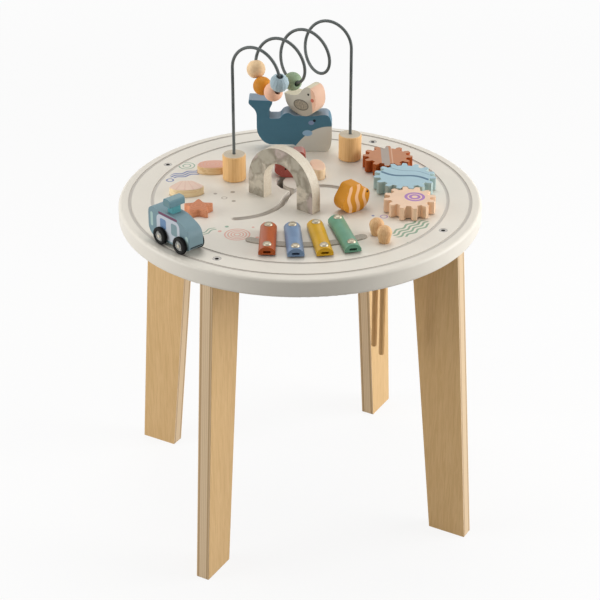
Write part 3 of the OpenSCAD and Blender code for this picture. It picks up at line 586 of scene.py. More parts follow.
# Ink, centre and radius of each dot
dots = [(SAND, (-78, 34), 3.0), (SAND, (-100, 35), 2.4), (SAND, (-83, 8), 2.6),
        (CORAL, (-119, -70), 2.4), (CORAL, (-80, -98), 2.2), (CORAL, (-78, -70), 1.8),
        (SAGE, (-108, -60), 2.4), (SAGE, (88, -160), 2.6), (SEA_BLUE, (-104, 112), 2.4),
        (SEA_BLUE, (70, -78), 1.9), (LILAC, (68, -92), 1.7)]
# Ink, centre, turn, reach, levels and line width of each set of wavy lines
swells = [(SAGE, (103, -124), 32, 30, (-9.0, -3.0, 3.0, 9.0), 3.0),
          (SEA_BLUE, (-122, 103), 8, 22, (-5.2, 0.0, 5.2), 3.0),
          (SAGE, (-132, -66), 28, 12, (-2.4, 2.4), 1.9)]


# %% Print on the top
SWELL_SWING, SWELL_LENGTH, SWELL_ASPECT = 1.7, 19.0, 0.46


def printed_ripple(tree, flat, centre, spacing, count, width):
    return use(tree, ring, Place=flat, Centre=(*centre, 0), Spacing=spacing, Count=count,
               Width=width)["Mask"]


def printed_dot(tree, flat, centre, radius):
    return use(tree, disc, Place=flat, Centre=(*centre, 0), Radii=(radius, radius, 1))["Mask"]


def printed_swell(tree, flat, centre, turn, reach, levels, width):
    lay = {"Vector": flat, "Location": (*centre, 0), "Rotation": (0, 0, math.radians(turn))}
    laid = add(tree, "ShaderNodeMapping", lay, vector_type="TEXTURE").outputs[0]
    line = 0.0
    for level in levels:
        stroke = use(tree, wave, Place=laid, Level=level, Swing=SWELL_SWING, Length=SWELL_LENGTH,
                     Width=width)["Mask"]
        line = calc(tree, "MAXIMUM", stroke, line)
    patch = use(tree, disc, Place=laid, Centre=(0, 0, 0), Radii=(reach, SWELL_ASPECT * reach, 1))
    return times(tree, line, patch["Mask"])


material, tree, place, facing = begin("top paint")
x, y, z = axes(tree, place)
flat = xyz(tree, x, y)
skin = use(tree, paint, Place=place, Paint=CREAM, Mottle=0.05)
colour = skin["Color"]
up_face = times(tree, step(tree, axes(tree, facing)[2], 0.6, 0.9), 0.9)
prints = 0
for stamp, layouts in ((printed_ripple, ripples), (printed_dot, dots), (printed_swell, swells)):
    for ink, *layout in layouts:
        mask = stamp(tree, flat, *layout)
        colour = mix(tree, times(tree, mask, up_face), colour, ink)
        prints += 1
print(prints, "prints on the top")

# %% [markdown]
# Two grey lines border the ring road, and the slot of the track is taupe. Both lie in grooves, so
# their paint could be a second material on the faces of the groove. The bevel splits those faces,
# so the paint goes by the depth below the top and the distance from the axis instead. Deeper in
# each groove the paint turns lighter: painted light that offsets the groove's own shade.

# %% Road lines, track and gloss
ROAD_RINGS, INSIDE_ROAD = (211, 183), 206
LINE_HALF, LINE_SOFT = 1.8, 2.4
from_axis = vector(tree, "LENGTH", flat)
sunk = times(tree, step(tree, z, -0.2, -0.9), step(tree, from_axis, INSIDE_ROAD, INSIDE_ROAD - 1))
# Deeper in the slot the taupe turns lighter: painted light against the slot's shade.
colour = mix(tree, sunk, colour, mix(tree, step(tree, z, -1.2, -2.6), TAUPE, TRACK_DEEP_PAINTED_LIGHT))
for radius in ROAD_RINGS:
    off = calc(tree, "ABSOLUTE", minus(tree, from_axis, radius))
    # Deeper in the groove the grey turns lighter: painted light against the groove's shade.
    line = mix(tree, step(tree, z, -0.1, -0.6), ROAD_GREY, ROAD_DEEP_PAINTED_LIGHT)
    colour = mix(tree, step(tree, off, LINE_SOFT, LINE_HALF), colour, line)
top_paint = finish(material, colour, skin["Roughness"], skin["Height"], 0.06,
                   Coat_Weight=0.3, Coat_Roughness=0.35)
print("road lines at", ROAD_RINGS, "mm from the axis")

# %% [markdown]
# The mouth of the track is rounded over more than the other edges. One bevel for all edges can't
# do that, so the mouth's edges are found by their distance from the bends' middle lines and get a
# bevel weight, which a first bevel reads.

# %% Top board
# Centre, radius, start and end of each bend of the track
TRACK_BENDS = ((Vector((-81.28, 25.47)), 67.5, -100, -24),
               (Vector((21.5, -20.28)), 45.0, -52, 156),
               (Vector((11.0, 41.0)), 25.5, 98, 230))
SLOT_HALF, SLOT_PLAY, MOUTH_ROUND, LEVEL_PLAY = 4.0, 0.4, 1.3, 0.1


def off_track(spot):
    gaps = []
    for middle, radius, start, end in TRACK_BENDS:
        arm = spot - middle
        way = (math.degrees(math.atan2(arm.y, arm.x)) - start) % 360 + start
        if way > end:
            way = end if way - end < start + 360 - way else start
        toward = Vector((math.cos(math.radians(way)), math.sin(math.radians(way))))
        gaps.append((spot - (middle + radius * toward)).length)
    return min(gaps)


top_board = copy_of("table_top", "top_board")
corners = top_board.data.vertices
weights = top_board.data.attributes.new("bevel_weight_edge", "FLOAT", "EDGE")
mouth_edges = 0
for edge in top_board.data.edges:
    ends = [corners[i].co / MM for i in edge.vertices]
    level = all(abs(end.z - TABLE_H) < LEVEL_PLAY for end in ends)
    if level and all(abs(off_track(end.xy) - SLOT_HALF) < SLOT_PLAY for end in ends):
        weights.data[edge.index].value = 1.0
        mouth_edges += 1
mouth = top_board.modifiers.new("track mouth", "BEVEL")
mouth.limit_method = "WEIGHT"
mouth.width = MOUTH_ROUND * MM
mouth.segments = 4
apply(top_board, mouth)
print(mouth_edges, "edges round the track's mouth")
ease(top_board, 0.5, 2)
hand_over(top_board, top_paint, "table_top")

# %% [markdown]
# ## Plywood legs
# Each leg is a board on a diagonal. Its broad faces show birch grain along the leg and its narrow
# edges show the plies as thin bands, with a darker glue line under each outer ply. Real sheets
# glued together would need dozens of solids, so the finish reads the surface's direction and the
# depth across the board instead.

# %% Birch plywood
LEG_T, PLY = 18.0, 2.6
BIRCH_PALE, BIRCH_DEEP = tint(236, 198, 144), tint(223, 184, 128)
EDGE_PALE, EDGE_DEEP, GLUE = tint(232, 206, 170), tint(219, 190, 151), tint(176, 140, 97)


def birch_ply(name, turn):
    material, tree, place, facing = begin(name, (0, 0, 0), turn)
    out_way, across, up = axes(tree, place)
    wood = use(tree, timber, Place=xyz(tree, up, out_way, across), Pale=BIRCH_PALE, Deep=BIRCH_DEEP)
    waver = times(tree, noise(tree, place, 0.02, 2.0), 0.8)
    plies = calc(tree, "SINE", times(tree, plus(tree, across, waver), 2 * math.pi / PLY))
    fleck = noise(tree, place, (0.5, 0.9, 0.05))
    band = step(tree, plus(tree, plies, times(tree, fleck, 0.8)), 0.5, 1.2)
    edge = mix(tree, band, EDGE_PALE, EDGE_DEEP)
    depth = minus(tree, LEG_T / 2, calc(tree, "ABSOLUTE", across))
    glue = times(tree, step(tree, depth, 1.3, 1.9), step(tree, depth, 4.2, 3.2))
    edge = mix(tree, times(tree, glue, 0.75), edge, GLUE)
    colour = mix(tree, steep(tree, facing, SIDEWAYS, 0.5, 0.8), edge, wood["Color"])
    return finish(material, colour, wood["Roughness"], wood["Height"], 0.14,
                  Coat_Weight=0.08, Coat_Roughness=0.3)


# %% Legs
leg_ways = {"leg_front_left": -135, "leg_front_right": -45, "leg_back_right": 45,
            "leg_back_left": 135}
for node, way in leg_ways.items():
    board = copy_of(node, node + "_board")
    ease(board, 1.4, 3)
    hand_over(board, birch_ply(node + " birch", way), node)

# %% [markdown]
# ## Metal and plain hidden parts
# Screws, inserts, stems, axles and cushions hardly show, so they keep their solids and only get a
# finish. Metal is not one flat grey: fine brushing changes its roughness, and a faint cloud
# changes its tone.

# %% Metals, rubber, felt and moulded plastic
def metal(name, dark, bright, rough, stretch=(0.4, 0.4, 4.0)):
    material, tree, place, facing = begin(name)
    brushed = noise(tree, place, stretch, 4.0)
    cloudy = noise(tree, place, 0.15, 2.0)
    colour = mix(tree, step(tree, cloudy, 0.3, 0.7), dark, bright)
    level = plus(tree, times(tree, brushed, 0.2), rough)
    return finish(material, colour, level, brushed, 0.05, Metallic=1.0)


def matt(name, dark, bright, rough, grain, lift):
    material, tree, place, facing = begin(name)
    speckle = noise(tree, place, grain, 4.0, 0.65)
    colour = mix(tree, step(tree, speckle, 0.35, 0.65), dark, bright)
    level = plus(tree, times(tree, speckle, 0.15), rough)
    return finish(material, colour, level, speckle, lift)


zinc = metal("zinc plate", tint(150, 150, 148), tint(188, 188, 184), 0.3)
nickel = metal("bright nickel", tint(184, 176, 158), tint(208, 200, 182), 0.16)
brass = metal("plain brass", tint(168, 138, 70), tint(198, 168, 92), 0.3)
rubber = matt("tyre rubber", tint(13, 13, 13), tint(22, 22, 21), 0.62, 1.6, 0.2)
cushion = matt("cushion rubber", tint(120, 118, 112), tint(144, 142, 134), 0.6, 1.2, 0.15)
felt = matt("grey felt", tint(170, 164, 152), tint(200, 193, 180), 0.8, 2.4, 0.5)
plastic = matt("moulded plastic", tint(205, 200, 188), tint(222, 218, 208), 0.42, 0.6, 0.06)
dowel = bare_timber("beech dowel", tint(220, 184, 138), tint(184, 140, 92), along="Z")
coat(brass, "leg_inserts")
coat(zinc, "post_screws", "whale_screws", "arch_screws", "fish_stem", "crab_stem")
coat(nickel, "car_front_axle", "car_rear_axle")
coat(cushion, "key_cushions")
coat(plastic, "fish_keeper", "crab_keeper", "gear_washers")
coat(dowel, "bird_pin", "gear_axles")
print("hidden parts coated")

# %% [markdown]
# The bolt heads are pale steel, and their sockets are painted near black as painted shade. Four
# materials could each hold the place of one socket, but all four bolts stand at the same distance
# from both axes, so the absolute place finds the socket of each with one disc.

# %% Bolts
BOLT_REACH, BOLT_SINK, SOCKET_R = 196, 0.3, 2.8
bolt_xy = BOLT_REACH * math.sqrt(0.5)
material, tree, place, facing = begin("bolt steel", (0, 0, TABLE_H - BOLT_SINK))
quadrant = vector(tree, "ABSOLUTE", flattened(tree, place))
socket = printed_dot(tree, quadrant, (bolt_xy, bolt_xy), SOCKET_R)
# Below the head's face, inside the socket, the steel is painted near black: painted shade.
deep = times(tree, socket, step(tree, axes(tree, place)[2], -0.05, -0.3))
brushed = noise(tree, place, 1.6)
steel = mix(tree, step(tree, brushed, 0.3, 0.7), tint(164, 160, 154), tint(194, 190, 184))
level = plus(tree, times(tree, brushed, 0.2), 0.32)
bolt_steel = finish(material, mix(tree, deep, steel, tint(44, 42, 40)), level, brushed, 0.08,
                    Metallic=0.7)
coat(bolt_steel, "leg_bolts")
print("bolt heads with dark sockets")

# %% [markdown]
# ## The bead coil
# A steel wire rises from one post, winds through three turns and comes down into the other post.
# A profile could be spun with a screw modifier, but not with its uprights in one piece. A curve
# with a round bevel gives one smooth tube; it is turned into a mesh once it has its shape. The
# turns run on along the axis evenly and ease into the uprights at both ends.

# %% Way of the wire
COIL_AT = Vector((-43.98, 49.82, TABLE_H + 149.8))
COIL_TURN, COIL_R, COIL_PITCH, COIL_TURNS = math.radians(30.5), 31.0, 44.5, 3
BEND_RUN, QUARTER = 0.17, 0.25
WIRE_R, FOOT_H, UPRIGHT_H, WIRE_STEPS = 2.0, 20.5, 40.0, 252
coil_axis = Vector((math.cos(COIL_TURN), math.sin(COIL_TURN), 0))
coil_back = Vector((-math.sin(COIL_TURN), math.cos(COIL_TURN), 0))


def run_on(u):
    def eased(t):
        return BEND_RUN * t * t * (3 - 2 * t) + QUARTER * t * t * (t - 1)
    if u < 0:
        return -BEND_RUN + eased(1 + u / QUARTER)
    if u > COIL_TURNS:
        return COIL_TURNS + BEND_RUN - eased(1 - (u - COIL_TURNS) / QUARTER)
    return u


def outward_at(u):
    around = 2 * math.pi * u
    return Vector((0, 0, math.cos(around))) - coil_back * math.sin(around)


def wire_at(u):
    return COIL_AT + coil_axis * COIL_PITCH * run_on(u) + outward_at(u) * COIL_R


coil_span = COIL_TURNS + 2 * QUARTER
path = [wire_at(-QUARTER + coil_span * i / WIRE_STEPS) for i in range(WIRE_STEPS + 1)]
feet = [Vector((p.x, p.y, TABLE_H + FOOT_H)) for p in (path[0], path[-1])]
rise = Vector((0, 0, UPRIGHT_H))
path = [feet[0], feet[0] + rise] + path + [feet[1] + rise, feet[1]]
print(len(path), "points on the wire")

# %% Wire
curve = bpy.data.curves.new("coil_wire", "CURVE")
curve.dimensions = "3D"
curve.bevel_depth = WIRE_R * MM
curve.bevel_resolution = 4
curve.use_fill_caps = True
spline = curve.splines.new("POLY")
spline.points.add(len(path) - 1)
for point, spot in zip(spline.points, path):
    point.co = (*(spot * MM), 1)
coil_wire = bpy.data.objects.new("coil_wire", curve)
scene.collection.objects.link(coil_wire)
pick(coil_wire)
bpy.ops.object.convert(target="MESH")
coil_wire = bpy.context.object
smooth(coil_wire)

material, tree, place, facing = begin("grey powder coat")
pebbled = noise(tree, place, 1.8, 2.0)
cloudy = step(tree, noise(tree, place, 0.05), 0.3, 0.7)
shade = mix(tree, cloudy, tint(86, 92, 92), tint(106, 111, 110))
level = plus(tree, times(tree, pebbled, 0.15), 0.34)
hand_over(coil_wire, finish(material, shade, level, pebbled, 0.12), "maze_wire")

# %% [markdown]
# The posts are turned from beech, with upright grain and a paler sawn top. One timber along Z
# would put stripes on the sawn end too, so the end gets faint year rings of its own.

# %% Posts
POST_PALE, POST_DEEP = tint(237, 194, 136), tint(223, 175, 115)
END_PALE, END_RING = tint(204, 193, 173), tint(178, 155, 120)


def post_wood(name, at):
    material, tree, place, facing = begin(name, (*at, TABLE_H))
    x, y, z = axes(tree, place)
    wood = use(tree, timber, Place=xyz(tree, z, x, y), Pale=POST_PALE, Deep=POST_DEEP)
    rings = printed_ripple(tree, flattened(tree, place), (9, 4), 2.4, 14, 0.7)
    end_grain = mix(tree, times(tree, rings, 0.25), END_PALE, END_RING)
    colour = mix(tree, steep(tree, facing, UPWARD, 0.6, 0.9), wood["Color"], end_grain)
    return finish(material, colour, wood["Roughness"], wood["Height"], 0.12)


for node, foot in (("post_left", feet[0]), ("post_right", feet[1])):
    post = copy_of(node, node + "_turned")
    ease(post, 0.5, 2, 30)
    hand_over(post, post_wood(node + " beech", (foot.x, foot.y)), node)

# %% [markdown]
# A bead is a ball with a drilled hole whose mouths are rounded, so it is turned from a profile.
# The pale blue one has ribs. They could be bump in its finish, but the outline would stay smooth,
# so its skin is moved in and out along the ball's radius, more at the belly than at the mouths.

# %% Bead shape
BEAD_R, BORE_R, MOUTH_LIP, WIRE_PLAY = 11.7, 4.0, 0.9, 0.3
BALL_STEPS, BORE_STEPS, BEAD_SIDES = 30, 6, 64
RIB_DEPTH, RIB_START = 0.55, 5.5
coil_lead = COIL_PITCH / (2 * math.pi)
path_r = COIL_R + coil_lead ** 2 / COIL_R
bead_drop = BORE_R - WIRE_R - WIRE_PLAY - (BEAD_R ** 2 - BORE_R ** 2) / 2 / path_r
print("bead centres stand", round(bead_drop, 2), "mm outward of the wire's middle line")


def bead_profile():
    mouth = math.asin((BORE_R + MOUTH_LIP) / BEAD_R)
    ball = [mouth + (math.pi - 2 * mouth) * i / BALL_STEPS for i in range(BALL_STEPS + 1)]
    outer = [(BEAD_R * math.sin(a), BEAD_R * math.cos(a)) for a in ball]
    top = BEAD_R * math.cos(mouth)
    lip = [(BORE_R + 0.45, top + 0.05), (BORE_R + 0.12, top - 0.2), (BORE_R, top - 0.7)]
    bore = [(BORE_R, (top - 0.7) * (1 - 2 * i / BORE_STEPS)) for i in range(1, BORE_STEPS)]
    return lip + bore + [(r, -z) for r, z in reversed(lip)] + list(reversed(outer))


def make_bead(colour_name, u, ribs=0):
    bead = turned("bead_" + colour_name + "_ball", bead_profile(), BEAD_SIDES)
    if ribs:
        for v in bead.data.vertices:
            reach = math.hypot(v.co.x, v.co.y) / MM
            belly = max(0.0, (reach - RIB_START) / (BEAD_R - RIB_START)) ** 0.5
            swing = 0.5 + 0.5 * math.cos(ribs * math.atan2(v.co.y, v.co.x))
            v.co *= 1 - RIB_DEPTH * belly * swing / BEAD_R
    around = 2 * math.pi * u
    tangent = Vector((0, 0, math.sin(around))) + coil_back * math.cos(around)
    along = coil_axis * coil_lead - tangent * COIL_R
    spot = wire_at(u) + outward_at(u) * bead_drop
    stand = along.to_track_quat("Z", "Y").to_matrix().to_4x4()
    bead.data.transform(Matrix.Translation(spot * MM) @ stand)
    smooth(bead, 50)
    return bead, tuple(spot)


# %% Beads
# Colour name, place on the wire in turns, paint and ribs
beads = (("orange", 0.563, (217, 142, 46), 0), ("peach", 0.43, (242, 190, 160), 0),
         ("blue", 0.303, (168, 188, 196), 16), ("green", 1.5, (147, 168, 136), 0))
for colour_name, u, shade, ribs in beads:
    bead, spot = make_bead(colour_name, u, ribs)
    skin = painted(colour_name + " bead paint", tint(*shade), spot, 30, mottle=0.2)
    hand_over(bead, skin, "bead_" + colour_name)
bead, spot = make_bead("natural", 0.685)
maple = bare_timber("bead maple", tint(246, 214, 172), tint(235, 199, 153), spot, 20)
hand_over(bead, maple, "bead_natural")

# %% [markdown]
# ## Sawn figures
# The figures are sawn from boards and painted on their faces. The edges of a print rub through
# a little, so a rim of bare wood shows where a face turns into a side. Pointiness would find such
# edges too, but it depends on the mesh; the surface's direction does not.

# %% Rubbed edges and spots
RAW = tint(222, 200, 166)
THROUGH = 90


def rubbed(tree, place, facing, axis, colour, amount=0.5, bare=RAW):
    lean = calc(tree, "ABSOLUTE", vector(tree, "DOT_PRODUCT", facing, axis))
    rim = times(tree, step(tree, lean, 0.2, 0.5), step(tree, lean, 0.97, 0.8))
    worn = step(tree, noise(tree, place, 0.35, 4.0), 0.42, 0.62)
    return mix(tree, times(tree, times(tree, rim, worn), amount), colour, bare)


def spot_mask(tree, place, x, z, half_x, half_z):
    return use(tree, disc, Place=place, Centre=(x, 0, z), Radii=(half_x, THROUGH, half_z))["Mask"]


def looks_up(tree, facing, low=0.5, high=0.85):
    return step(tree, axes(tree, facing)[2], low, high)


# %% [markdown]
# The whale is one thick block with a grey belly under a soft curve, a small fin and a plain round
# eye. A second block for the belly would leave a seam, so the curve is a power of the distance
# from the head, and what lies below it takes the paler paint.

# %% Whale
WHALE_AT, WHALE_TURN = (33, 146, TABLE_H), -17
BROW_END, BROW_RUN, BROW_H = 49.0, 53.0, 36.0
# Place, half sizes and paint of the fin, the eye's patch and the eye
whale_spots = ((17, 26.5, 6.5, 4.2, (146, 182, 212)), (22, 41, 3.8, 3.0, (128, 146, 180)),
               (26, 44, 1.9, 1.9, (24, 34, 44)))


def whale_print(tree, place, facing, colour):
    x, y, z = axes(tree, place)
    top = looks_up(tree, facing, 0.55)
    colour = mix(tree, times(tree, top, 0.85), colour, tint(138, 150, 162))
    reach = calc(tree, "DIVIDE", minus(tree, BROW_END, x), BROW_RUN)
    brow = times(tree, minus(tree, 1.0, calc(tree, "POWER", reach, 2.4)), BROW_H)
    belly = times(tree, step(tree, minus(tree, z, brow), 0.4, -0.4), step(tree, x, -4.0, -3.0))
    colour = mix(tree, belly, colour, tint(206, 206, 198))
    for *spot, shade in whale_spots:
        colour = mix(tree, spot_mask(tree, place, *spot), colour, tint(*shade))
    return rubbed(tree, place, facing, SIDEWAYS, colour, 0.25, tint(136, 164, 186))


whale = copy_of("whale", "whale_block")
ease(whale, 1.8, 3)
whale_paint = painted("whale paint", tint(74, 118, 139), WHALE_AT, WHALE_TURN, whale_print)
hand_over(whale, whale_paint, "whale")

# %% [markdown]
# The bird is a plain rounded song-bird block: beige body, a wing drawn as an outlined oval, a
# peach breast and pale edges. Its pattern turns with the bird, because it is laid out from the
# pin that the bird swivels on.

# %% Bird
BIRD_FOOT, BIRD_TURN = 50.8, -48
WING, WING_LINE = (1, 14.5, 11.5, 7.5), 1.3


def bird_print(tree, place, facing, colour):
    x, y, z = axes(tree, place)
    lower = step(tree, minus(tree, z, times(tree, x, 0.5)), 12, 20)
    colour = mix(tree, lower, tint(168, 160, 145), colour)
    wing_x, wing_z, half_x, half_z = WING
    outline = spot_mask(tree, place, wing_x, wing_z, half_x, half_z)
    inside = spot_mask(tree, place, wing_x, wing_z, half_x - WING_LINE, half_z - WING_LINE)
    feathers = step(tree, noise(tree, place, (0.5, 0.5, 0.9)), 0.4, 0.65)
    colour = mix(tree, outline, colour, tint(96, 92, 80))
    wing = mix(tree, feathers, tint(128, 120, 104), tint(164, 154, 136))
    colour = mix(tree, inside, colour, wing)
    chest = step(tree, plus(tree, x, times(tree, z, 0.12)), 18.5, 21)
    colour = mix(tree, chest, colour, tint(232, 188, 160))
    colour = mix(tree, spot_mask(tree, place, 18, 24, 2.6, 2.6), colour, tint(200, 112, 92))
    colour = mix(tree, spot_mask(tree, place, 12, 31, 1.6, 1.6), colour, tint(30, 28, 26))
    sides = steep(tree, facing, SIDEWAYS, 0.75, 0.35)
    colour = mix(tree, sides, colour, tint(214, 206, 180))
    return mix(tree, times(tree, sides, chest), colour, tint(226, 186, 160))


pivot = joint_at["bird_swivel"]
bird = copy_of("bird", "bird_block")
ease(bird, 2.0, 3)
bird_paint = painted("bird paint", tint(190, 186, 173), (pivot.x, pivot.y, TABLE_H + BIRD_FOOT),
                     BIRD_TURN, bird_print)
hand_over(bird, bird_paint, "bird")

# %% [markdown]
# The arch shows field stones on both faces. Modelled stones would be right for a real wall, but
# this is a print on a sawn board. Voronoi cells give irregular stones; the distance to a cell's
# edge draws the joints, and each cell gets its own grey. The sawn edges stay pale wood.

# %% Stone arch
ARCH_AT, ARCH_TURN = (-23.5, -10.0, TABLE_H), -55
STONE_SCALE, STONE_SPREAD, WOBBLE = 0.052, 0.8, 4.0


def stone_print(tree, place, facing, colour):
    x, y, z = axes(tree, place)
    drift = add(tree, "ShaderNodeTexNoise", {"Vector": place, "Scale": 0.12, "Detail": 2.0})
    wobble = add(tree, "ShaderNodeVectorMath", {0: drift.outputs["Color"], "Scale": WOBBLE},
                 operation="SCALE").outputs["Vector"]
    wall = flattened(tree, vector(tree, "ADD", xyz(tree, x, z), wobble))
    layout = {"Vector": wall, "Scale": STONE_SCALE, "Randomness": STONE_SPREAD}
    joints = add(tree, "ShaderNodeTexVoronoi", layout, feature="DISTANCE_TO_EDGE")
    cells = add(tree, "ShaderNodeTexVoronoi", layout)
    own, hue, _ = axes(tree, cells.outputs["Color"])
    stones = mix(tree, own, tint(170, 164, 148), tint(208, 198, 180))
    stones = mix(tree, step(tree, hue, 0.62, 0.7), stones, tint(188, 172, 164))
    blotch = step(tree, noise(tree, place, 0.16, 4.0), 0.42, 0.8)
    stones = mix(tree, blotch, stones, tint(158, 150, 134))
    broken = step(tree, noise(tree, place, 0.09), 0.3, 0.6)
    line = step(tree, joints.outputs["Distance"], 0.17, 0.02)
    shaded = times(tree, line, times(tree, broken, 0.65))
    stones = mix(tree, shaded, stones, tint(126, 117, 102))
    face = steep(tree, facing, SIDEWAYS, 0.6, 0.9)
    wood = use(tree, timber, Place=place, Pale=tint(228, 219, 202), Deep=tint(216, 204, 184))
    return mix(tree, face, wood["Color"], stones)


arch = copy_of("stone_arch", "arch_block")
ease(arch, 1.6, 3)
arch_paint = painted("arch print", tint(200, 192, 178), ARCH_AT, ARCH_TURN, stone_print)
hand_over(arch, arch_paint, "stone_arch")

# %% [markdown]
# The fish carries wavy pale bands, the crab a speckled shell. Both have simple dot eyes and the
# rubbed edges of a block that is pushed about. Their patterns are laid out from their place on
# the track's bends, so that they stay centred on the blocks.

# %% Fish and crab
# Level and width of the fish's bands
fish_bands = ((-12.0, 5.0), (0.0, 5.0), (11.0, 4.2))
CRAB_EYE_X = 4.5


def fish_print(tree, place, facing, colour):
    x, y, z = axes(tree, place)
    upright = xyz(tree, z, x)
    for level, width in fish_bands:
        band = use(tree, wave, Place=upright, Level=level, Swing=1.6, Length=26.0, Width=width)
        seen = times(tree, band["Mask"], steep(tree, facing, SIDEWAYS, 0.5, 0.8))
        colour = mix(tree, seen, colour, tint(244, 196, 150))
    colour = mix(tree, spot_mask(tree, place, 15.5, 23, 1.5, 1.5), colour, tint(52, 38, 26))
    return rubbed(tree, place, facing, SIDEWAYS, colour)


def crab_print(tree, place, facing, colour):
    speckle = step(tree, noise(tree, place, 0.5, 2.0), 0.62, 0.7)
    colour = mix(tree, times(tree, speckle, 0.5), colour, tint(206, 124, 108))
    colour = mix(tree, looks_up(tree, facing), colour, tint(178, 134, 126))
    for side in (-CRAB_EYE_X, CRAB_EYE_X):
        colour = mix(tree, spot_mask(tree, place, side, 12, 1.3, 1.3), colour, tint(40, 26, 24))
    return rubbed(tree, place, facing, SIDEWAYS, colour)


def on_bend(joint, radius, way):
    middle, way = joint_at[joint], math.radians(way)
    return (middle.x + radius * math.cos(way), middle.y + radius * math.sin(way), TABLE_H)


for node, shade, at, turn, pattern in (
        ("fish", (214, 144, 40), on_bend("fish_run", TRACK_BENDS[1][1], -48), 22, fish_print),
        ("crab", (164, 84, 76), on_bend("crab_run", TRACK_BENDS[2][1], 107), -15, crab_print)):
    block = copy_of(node, node + "_block")
    ease(block, 1.5, 3)
    hand_over(block, painted(node + " paint", tint(*shade), at, turn, pattern), node)

# %% [markdown]
# ## Gears
# Three gears mesh on wooden axles. Each has its own paint on top and another tone on the sides of
# its teeth, with one plain mark: a grey bar, a blue wave or a pair of lilac rings. The orange gear's
# sides are darker and redder than its top: partly a rust paint of their own, partly painted shade.
# The marks could be one big recipe with switches; a small function for each is easier to read and
# to change.

# %% Marks on the gears
def gear_skin(marks, side):
    def pattern(tree, place, facing, colour):
        for mask, shade in marks(tree, place):
            colour = mix(tree, mask, colour, tint(*shade))
        # Faces that don't look up take the side tone; on the orange gear it is partly painted shade.
        colour = mix(tree, looks_up(tree, facing, 0.45, 0.8), tint(*side), colour)
        return rubbed(tree, place, facing, UPWARD, colour, 0.35)
    return pattern


def slab_mask(tree, place, centre, half, corner):
    return use(tree, slab, Place=place, Centre=centre, Half=half, Round=corner)["Mask"]


def grey_bar(tree, place):
    bar = slab_mask(tree, place, (-3, 0, 0), (5.2, 30, THROUGH), 1.0)
    line = slab_mask(tree, place, (5.5, 0, 0), (0.8, 30, THROUGH), 0.4)
    return [(bar, (170, 158, 148)), (line, (208, 166, 138))]


def blue_wave(tree, place):
    inner = printed_dot(tree, flattened(tree, place), (0, 0), 32)
    marks = []
    for level, swing, length, width, shade in ((0.0, 3.8, 58.0, 4.4, (88, 118, 140)),
                                               (16.0, 2.4, 44.0, 1.6, (134, 162, 178))):
        line = use(tree, wave, Place=place, Level=level, Swing=swing, Length=length, Width=width)
        marks.append((times(tree, line["Mask"], inner), shade))
    return marks


def lilac_rings(tree, place):
    return [(printed_ripple(tree, flattened(tree, place), (6, 2), 5.4, 2, 3.6), (172, 128, 188))]


# %% Gears
# Node, turn, paint, tone of the teeth's sides (on the orange gear partly painted shade) and mark
gears = (("gear_orange", -15.5, (190, 134, 100), (172, 84, 32), grey_bar),
         ("gear_blue", -37, (172, 200, 210), (178, 200, 198), blue_wave),
         ("gear_peach", -15.5, (240, 208, 180), (240, 206, 174), lilac_rings))
for node, turn, shade, side, marks in gears:
    wheel = copy_of(node, node + "_wheel")
    ease(wheel, 0.9, 2)
    centre = joint_at[node + "_spin"]
    skin = painted(node + " paint", tint(*shade), (centre.x, centre.y, TABLE_H), turn,
                   gear_skin(marks, side))
    hand_over(wheel, skin, node)

# %% [markdown]
# ## Xylophone
# Each bar is a drawn metal tube with a flat underside and an arched back, powder coated. Plain
# paint would look like the wood beside it, so the coat has a fine orange-peel skin and a soft
# gloss. Faces that look down, in the hollow, get the coat at half strength: painted shade.

# %% Bars
DEEP_SHARE, UNDER_SHADE_SHARE = 0.86, 0.5
bars = (("rust", (181, 85, 28)), ("blue", (118, 145, 178)), ("ochre", (216, 166, 20)),
        ("green", (105, 158, 131)))


def dimmed(colour, share):
    return [c * share for c in colour[:3]] + [1.0]


for colour_name, shade in bars:
    bar = copy_of("key_" + colour_name, "bar_" + colour_name)
    ease(bar, 0.5, 2, 50)
    material, tree, place, facing = begin(colour_name + " powder coat")
    coat_tint = tint(*shade)
    peel = noise(tree, place, 0.9, 2.0)
    cloudy = step(tree, noise(tree, place, 0.06), 0.3, 0.7)
    skin = mix(tree, cloudy, dimmed(coat_tint, DEEP_SHARE), coat_tint)
    # Faces that look down, in the hollow, are darkened to half: painted shade.
    under = looks_up(tree, facing, 0.05, -0.3)
    skin = mix(tree, under, skin, dimmed(coat_tint, UNDER_SHADE_SHARE))
    level = plus(tree, times(tree, peel, 0.16), 0.26)
    powder = finish(material, skin, level, peel, 0.06, Coat_Weight=0.25, Coat_Roughness=0.2)
    hand_over(bar, powder, "key_" + colour_name)

# %% [markdown]
# Two domed screws hold each bar, and a felt strip damps the row. A lathe profile could give the
# heads their dome, but the solids already have the right place and rim. So only the height of
# their points changes: squaring the depth below the crown flattens each dome.

# %% Screws and strip
HEAD_H = 2.6 * MM
screws = copy_of("key_screws", "domed_screws")
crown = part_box("key_screws")[1].z
for corner in screws.data.vertices:
    below = (crown - corner.co.z) / HEAD_H
    if below < 1:
        corner.co.z = crown - HEAD_H * below ** 2
smooth(screws, 30)
screw_metal = metal("worn nickel", tint(146, 138, 120), tint(172, 163, 144), 0.36, 1.2)
hand_over(screws, screw_metal, "key_screws")
strip = copy_of("damper_strip", "felt_strip")
ease(strip, 0.5, 2)
hand_over(strip, felt, "damper_strip")

# %% [markdown]
# ## Mallets
# Two turned heads on thin sticks hang through the top. Their solids are already round, so a copy
# with eased ends is enough. The wood is a little redder than the legs.

